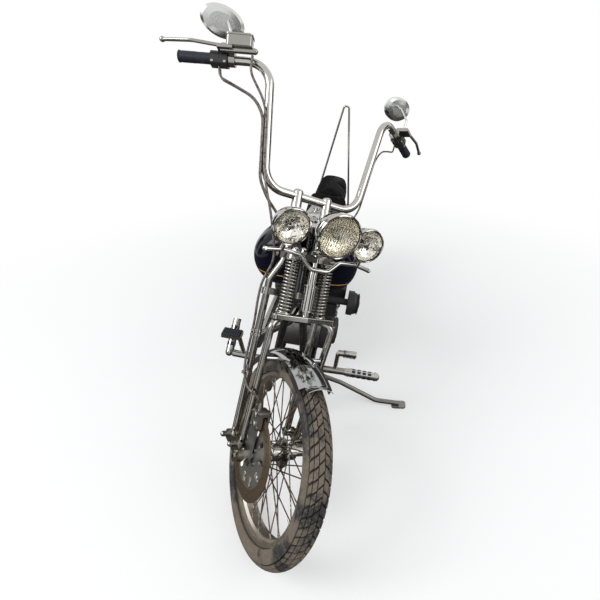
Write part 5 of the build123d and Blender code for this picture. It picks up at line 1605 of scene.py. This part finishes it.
# Covers and other turned pieces: places on the engine's side, and profiles
CLUTCH_AT = (530, 320)
CLUTCH_COVER = ((0, 0), (62, 0), (62, 8), (58, 13), (50, 15), (48, 13), (22, 14), (20, 16), (0, 16.5))
INSPECTION_AT = (672, 303)
INSPECTION_COVER = ((0, 0), (36, 0), (36, 4), (33, 6.5), (0, 7.5))
CRANK_COVER = ((0, 0), (72, 0), (72, 10), (68, 17), (58, 21), (40, 22), (38, 24), (0, 25))
CAM_AT = (800, 305)
CAM_COVER = ((0, 0), (36, 0), (36, 3), (33, 5.5), (24, 6), (22, 4.5), (0, 5.5))
PLUG_CAP = ((0, 0), (9, 0), (9, 4), (7, 6), (7.5, 26), (6, 34), (3.6, 38), (0, 38))
PLUG_NUT = ((0, -3), (12, -3), (12, 5), (9, 6), (0, 6))
AIR_COVER = ((0, 0), (64, 0), (62, 3.2), (58, 3.2), (56, 1.2), (18, 1.6), (16, 3.6), (0, 4.2))
HORN_GRILLE = ((0, 0), (45, 0), (44, 3), (40, 5.5), (34, 4), (28, 6.5), (22, 5), (16, 8), (9, 9.5), (0, 10))
# Boxes on the left of the engine: middle, size and rounding
IGNITION = (((836, 132, 562), (104, 128, 92), 14), ((880, 120, 478), (56, 84, 74), 9))


def on_side(x, y, z):
    """Point of the bike's frame, with its height above the ground."""
    return at(GROUNDED, x, y, z)


def circle_spots(middle, far, face, count, start=0.0):
    """Points evenly round a circle that faces to the side."""
    turns = [start + 2 * pi * k / count for k in range(count)]
    return [on_side(middle[0] + far * cos(turn), face, middle[1] + far * sin(turn)) for turn in turns]


def outline_spots(ends, inset, face, facing, size, count):
    """Bolts along the outline of two round ends joined by straight edges."""
    (x0, z0, r0), (x1, z1, r1) = ends
    spots = []
    for x, z, radius, start in ((x0, z0, r0 - inset, -90), (x1, z1, r1 - inset, 90)):
        for k in range(count):
            turn = radians(start + 180 * k / (count - 1))
            spots.append((on_side(x + radius * cos(turn), face, z + radius * sin(turn)), facing, size))
    for share in (1 / 3, 2 / 3):
        for lift in SIDES:
            far = lift * (r0 + share * (r1 - r0) - inset)
            spots.append((on_side(x0 + share * (x1 - x0), face, z0 + share * (z1 - z0) + far), facing,
                          size))
    return spots


def cylinder_frame(tilt):
    """Frame of a cylinder: Z out along its bore from the crank, Y to the left of the bike."""
    up = along(GROUNDED, sin(tilt), 0, cos(tilt))
    return frame_at(on_side(CRANK[0], 0, CRANK[1]), BIKE_LEFT.cross(up), BIKE_LEFT, up)


def make_engine_trim(sizes):
    """Make the small metal and the dark boxes of the engine."""
    left = BIKE_LEFT
    right = -BIKE_LEFT
    metal = Shape("chrome")
    dark = Shape("engine_black")
    spots = outline_spots(PRIMARY_ENDS, 20, PRIMARY_FACE - 0.3, left, sizes.bolt, 5)
    spots += outline_spots(CAM_ENDS, 9, CAM_FACE + 0.3, right, sizes.bolt, 5)
    for shape, (x, z), cover, steps in ((metal, CLUTCH_AT, CLUTCH_COVER, 56),
                                        (metal, INSPECTION_AT, INSPECTION_COVER, 40),
                                        (dark, CRANK, CRANK_COVER, 56)):
        shape.lathe(axis_frame(on_side(x, PRIMARY_FACE - 0.5, z), left), cover, steps)
    for middle, size, round_by in IGNITION:
        dark.block(GROUNDED @ Matrix.Translation(Vector(middle) * MM), size, round_by)
    cover_spots = circle_spots(CLUTCH_AT, 54, PRIMARY_FACE + 13.2, 5)
    cover_spots += circle_spots(INSPECTION_AT, 27, PRIMARY_FACE + 5.5, 4, pi / 4)
    spots += [(spot, left, sizes.bolt * 0.7) for spot in cover_spots]
    metal.lathe(axis_frame(on_side(CAM_AT[0], CAM_FACE + 0.5, CAM_AT[1]), right), CAM_COVER, 40)
    for tilt in (V_HALF, -V_HALF):
        place = cylinder_frame(tilt)
        up = along(place, 0, 0, 1)
        for side in (-58, 0, 58):
            for ahead in SIDES:
                spots.append((at(place, ahead * 33, ROCKER_MIDDLE + side, ROCKER_TOP - 0.4), up,
                              sizes.bolt * 1.2))
        ridge = place @ Matrix.Translation((0, ROCKER_MIDDLE * MM, (ROCKER_TOP + 2) * MM))
        metal.block(ridge, (34, 104, 8), 3.5)
        plug = axis_frame(at(place, 0, FIN - 4, HEAD_MIDDLE), along(place, 0, 1, 0.35))
        dark.lathe(plug, PLUG_CAP, 18)
        metal.lathe(plug, PLUG_NUT, HEAD_SIDES)
        for beside in SIDES:
            for height in (205, 262):
                start = at(place, beside * 15, PUSHROD_OUT, height)
                metal.sleeve(start, start + up * 9 * MM, 8.8, 2.2, 20)
    air = axis_frame(on_side(AIR_CLEANER[0], AIR_FACE + 0.4, AIR_CLEANER[1]), right)
    metal.lathe(air, AIR_COVER, 64)
    metal.dome(at(air, 0, 0, 3.5), right, 7, 11)
    metal.hoop(on_side(AIR_CLEANER[0], AIR_FACE + 42, AIR_CLEANER[1]), right, 87.6, 1.8, 64)
    horn = axis_frame(on_side(HORN[0], HORN_FACE - 0.6, HORN[1]), left)
    metal.lathe(horn, HORN_GRILLE, 56)
    dark.hoop(at(horn, 0, 0, 0.6), left, 48.5, 2.6, 56)
    metal.bolts(spots)
    metal.piece("engine_trim", "frame", "chrome")
    dark.piece("ignition_box", "frame", "engine_black")


# Exhaust trim: clamps on the pipes and dark hollow tips


PIPE = 20
PIPE_SIDE = -188
MUFFLER = 41
Silencer = namedtuple("Silencer", "front rear height")
SILENCERS = (Silencer(470, -190, 255), Silencer(290, -270, 378))
SOOT_PLUG = ((0, 0), (30.4, 0), (30.4, 3), (29, 4), (0, 4))
TIP_RING = 4.4


def make_exhaust_trim(sizes):
    """Make clamps and tips of the exhaust."""
    metal = Shape("chrome")
    soot = Shape("dark_plastic")
    back = along(GROUNDED, -1, 0, 0)
    spots = []
    for silencer in SILENCERS:
        for x in (silencer.front + 24, silencer.front + 40):
            start = on_side(x, PIPE_SIDE, silencer.height)
            metal.sleeve(start, start + back * 12 * MM, PIPE - 0.2, 2.4, 40)
        low = on_side(silencer.front + 26, PIPE_SIDE, silencer.height - PIPE - 3)
        spots.append((low, -BIKE_UP, sizes.bolt))
        end = on_side(silencer.rear, PIPE_SIDE, silencer.height)
        metal.hoop(end - back * 3 * MM, back, MUFFLER - TIP_RING, TIP_RING, 48)
        soot.lathe(axis_frame(end - back * 58 * MM, back), SOOT_PLUG, 40)
        for x in (silencer.front - 70, silencer.rear + 120):
            start = on_side(x, PIPE_SIDE, silencer.height)
            metal.sleeve(start, start + back * 16 * MM, MUFFLER - 0.2, 1.6, 48)
            high = on_side(x - 8, PIPE_SIDE + 0.6 * MUFFLER, silencer.height + 0.8 * MUFFLER)
            spots.append((high, BIKE_UP, sizes.bolt))
    metal.bolts(spots)
    metal.piece("exhaust_trim", "frame", "chrome")
    soot.piece("exhaust_soot", "frame", "rubber")


# Foot trim: rubbers on pegs and pedals, and rings and a cap on the left peg


PEG_X = 1185
PEG_HIGH = 362
PEG = 17
SHIFT_PEG = 13
INLAY_ROWS = 4
INLAY_STEP = 24
INLAY_COLUMNS = 6
PEG_RINGS = (262, 274, 384)
PEG_TIP = 399
CLEATS = 9
CLEAT_STEP = 6
PAD_SIZE = (43, 80, 7)
PAD_BARS = 8
PAD_BAR_STEP = 9.6


def add_inlays(shape, place):
    """Rubber inlays let into a peg: rows along it, evenly round it."""
    for row in range(INLAY_ROWS):
        inlay = Shape("soft_rubber")
        inlay.block(Matrix.Translation(Vector((PEG - 0.6, 0, row * INLAY_STEP)) * MM), (4, 11, 16), 1.6)
        shape.ring_of(inlay, INLAY_COLUMNS, place)


def make_foot_trim():
    """Make the rubbers of pegs and pedals, and the left peg's metal."""
    rubber = Shape("soft_rubber")
    metal = Shape("chrome")
    left_peg = axis_frame(on_side(PEG_X, 290, PEG_HIGH), BIKE_LEFT)
    add_inlays(rubber, left_peg)
    for aside in PEG_RINGS:
        start = on_side(PEG_X, aside, PEG_HIGH)
        metal.sleeve(start, start + BIKE_LEFT * 7 * MM, PEG - 0.2, 2.6, 32)
    metal.dome(on_side(PEG_X, PEG_TIP, PEG_HIGH), BIKE_LEFT, 12, 9)
    folded = along(GROUNDED, -0.68, 0, 0.73)
    add_inlays(rubber, axis_frame(on_side(PEG_X, -267, PEG_HIGH) + folded * 38 * MM, folded))
    cleat = Shape("soft_rubber")
    cleat.hoop(Vector((0, 0, 0)), Vector((0, 0, 1)), SHIFT_PEG + 0.6, 2.2, 28)
    shift_peg = axis_frame(on_side(PEG_X + 46, 230, 500), BIKE_LEFT)
    rubber.row_of(cleat, CLEATS, (0, 0, CLEAT_STEP), shift_peg)
    pad = GROUNDED @ Matrix.Translation(Vector((PEG_X + 14, -255, 486)) * MM)
    rubber.block(pad, PAD_SIZE, 2.4)
    bar = Shape("soft_rubber")
    bar.block(Matrix.Translation((0, 0, 4.5 * MM)), (40, 4, 4), 1.2)
    first_bar = pad @ Matrix.Translation((0, -33.6 * MM, 0))
    rubber.row_of(bar, PAD_BARS, (0, PAD_BAR_STEP, 0), first_bar)
    rubber.piece("foot_rubbers", "frame", "rubber")
    metal.piece("peg_trim", "frame", "chrome")


# Rear trim: axle nuts and strut bolts


STRUT_HIGH = 606
STRUT_FACE = 106.3
STRUT_BOLTS = (440, 250, -120)
AXLE_FACE = 128
AXLE_HIGH = REAR_RADIUS / MM
AXLE_NUT = ((12.4, 0), (20, 0.8), (20, 8), (17.5, 9), (12.4, 9))


def make_rear_trim(sizes):
    """Make nuts of the rear axle and bolts of the struts."""
    metal = Shape("chrome")
    spots = []
    for side in SIDES:
        out = BIKE_LEFT * side
        for x in STRUT_BOLTS:
            spots.append((on_side(x, side * (STRUT_FACE - 0.3), STRUT_HIGH), out, sizes.bolt * 1.5))
        nut = axis_frame(on_side(0, side * AXLE_FACE, AXLE_HIGH), out)
        metal.lathe(nut, AXLE_NUT, HEAD_SIDES, closed=True)
    metal.bolts(spots)
    metal.piece("rear_trim", "frame", "chrome")


# Operators: one for each group of pieces, and one for the stage


def sizes_of(context):
    """Sizes set on the panel."""
    return context.scene.chopper_sizes


class CHOPPER_OT_finishes(bpy.types.Operator):
    """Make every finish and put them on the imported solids"""
    bl_idname = "chopper.finishes"
    bl_label = "Finishes"

    def execute(self, context):
        make_finishes(context.scene.chopper_colours)
        paint_nodes()
        return {"FINISHED"}


class CHOPPER_OT_tyres(bpy.types.Operator):
    """Make the two tyres with their tread"""
    bl_idname = "chopper.tyres"
    bl_label = "Tyres"

    def execute(self, context):
        make_tyres(sizes_of(context))
        return {"FINISHED"}


class CHOPPER_OT_wheel_trim(bpy.types.Operator):
    """Add spoke nipples, valves and disc bolts"""
    bl_idname = "chopper.wheel_trim"
    bl_label = "Wheel trim"

    def execute(self, context):
        make_wheel_trim(sizes_of(context))
        return {"FINISHED"}


class CHOPPER_OT_lamps(bpy.types.Operator):
    """Make bezels, reflectors, bulbs and glass of the lamps"""
    bl_idname = "chopper.lamps"
    bl_label = "Lamps"

    def execute(self, context):
        make_lamps(sizes_of(context))
        return {"FINISHED"}


class CHOPPER_OT_fork_trim(bpy.types.Operator):
    """Add nuts, spring cups, clips and caliper caps to the fork"""
    bl_idname = "chopper.fork_trim"
    bl_label = "Fork trim"

    def execute(self, context):
        make_fork_trim(sizes_of(context))
        return {"FINISHED"}


class CHOPPER_OT_hand_trim(bpy.types.Operator):
    """Add grip ribs, switches, screws and mirror glass to the handlebar"""
    bl_idname = "chopper.hand_trim"
    bl_label = "Handlebar trim"

    def execute(self, context):
        make_hand_trim(sizes_of(context))
        return {"FINISHED"}


class CHOPPER_OT_tank_trim(bpy.types.Operator):
    """Add filler caps, dial and switch to the tank"""
    bl_idname = "chopper.tank_trim"
    bl_label = "Tank trim"

    def execute(self, context):
        make_tank_trim()
        return {"FINISHED"}


class CHOPPER_OT_seats(bpy.types.Operator):
    """Fill the leather cushions and sew their piping"""
    bl_idname = "chopper.seats"
    bl_label = "Seats"

    def execute(self, context):
        make_seats(sizes_of(context))
        return {"FINISHED"}


class CHOPPER_OT_engine_trim(bpy.types.Operator):
    """Add bolts, covers, plugs, horn face and air cleaner face to the engine"""
    bl_idname = "chopper.engine_trim"
    bl_label = "Engine trim"

    def execute(self, context):
        make_engine_trim(sizes_of(context))
        return {"FINISHED"}


class CHOPPER_OT_exhaust_trim(bpy.types.Operator):
    """Add clamps and tips to the exhaust"""
    bl_idname = "chopper.exhaust_trim"
    bl_label = "Exhaust trim"

    def execute(self, context):
        make_exhaust_trim(sizes_of(context))
        return {"FINISHED"}


class CHOPPER_OT_foot_trim(bpy.types.Operator):
    """Add rubbers to pegs and pedals, and rings and a cap to the left peg"""
    bl_idname = "chopper.foot_trim"
    bl_label = "Foot trim"

    def execute(self, context):
        make_foot_trim()
        return {"FINISHED"}


class CHOPPER_OT_rear_trim(bpy.types.Operator):
    """Add axle nuts and strut bolts at the rear"""
    bl_idname = "chopper.rear_trim"
    bl_label = "Rear trim"

    def execute(self, context):
        make_rear_trim(sizes_of(context))
        return {"FINISHED"}


class CHOPPER_OT_stage(bpy.types.Operator):
    """Set up the floor, the light and the camera"""
    bl_idname = "chopper.stage"
    bl_label = "Stage"

    def execute(self, context):
        make_stage()
        return {"FINISHED"}


OPERATORS = (CHOPPER_OT_finishes, CHOPPER_OT_tyres, CHOPPER_OT_wheel_trim, CHOPPER_OT_lamps,
             CHOPPER_OT_fork_trim, CHOPPER_OT_hand_trim, CHOPPER_OT_tank_trim, CHOPPER_OT_seats,
             CHOPPER_OT_engine_trim, CHOPPER_OT_exhaust_trim, CHOPPER_OT_foot_trim, CHOPPER_OT_rear_trim,
             CHOPPER_OT_stage)


class CHOPPER_PT_panel(bpy.types.Panel):
    """Sizes, colours and steps of the chopper"""
    bl_label = "Chopper"
    bl_space_type = "VIEW_3D"
    bl_region_type = "UI"
    bl_category = "Chopper"

    def draw(self, context):
        for group in (context.scene.chopper_sizes, context.scene.chopper_colours):
            box = self.layout.box()
            for name in group.__annotations__:
                box.prop(group, name)
        for step in OPERATORS:
            self.layout.operator(step.bl_idname)


CLASSES = (ChopperSizes, ChopperColours, *OPERATORS, CHOPPER_PT_panel)


def register():
    """Register the classes and hang their values on the scene."""
    for kind in CLASSES:
        bpy.utils.register_class(kind)
    bpy.types.Scene.chopper_sizes = PointerProperty(type=ChopperSizes)
    bpy.types.Scene.chopper_colours = PointerProperty(type=ChopperColours)


def unregister():
    """Undo register."""
    del bpy.types.Scene.chopper_colours
    del bpy.types.Scene.chopper_sizes
    for kind in reversed(CLASSES):
        bpy.utils.unregister_class(kind)


def main():
    """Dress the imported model."""
    for name in ("Cube", "Light", "Camera"):
        if name in bpy.data.objects:
            bpy.data.objects.remove(bpy.data.objects[name])
    register()
    bpy.ops.chopper.stage()
    bpy.ops.chopper.finishes()
    bpy.ops.chopper.tyres()
    bpy.ops.chopper.wheel_trim()
    bpy.ops.chopper.lamps()
    bpy.ops.chopper.fork_trim()
    bpy.ops.chopper.hand_trim()
    bpy.ops.chopper.tank_trim()
    bpy.ops.chopper.seats()
    bpy.ops.chopper.engine_trim()
    bpy.ops.chopper.exhaust_trim()
    bpy.ops.chopper.foot_trim()
    bpy.ops.chopper.rear_trim()


if __name__ == "__main__":
    main()
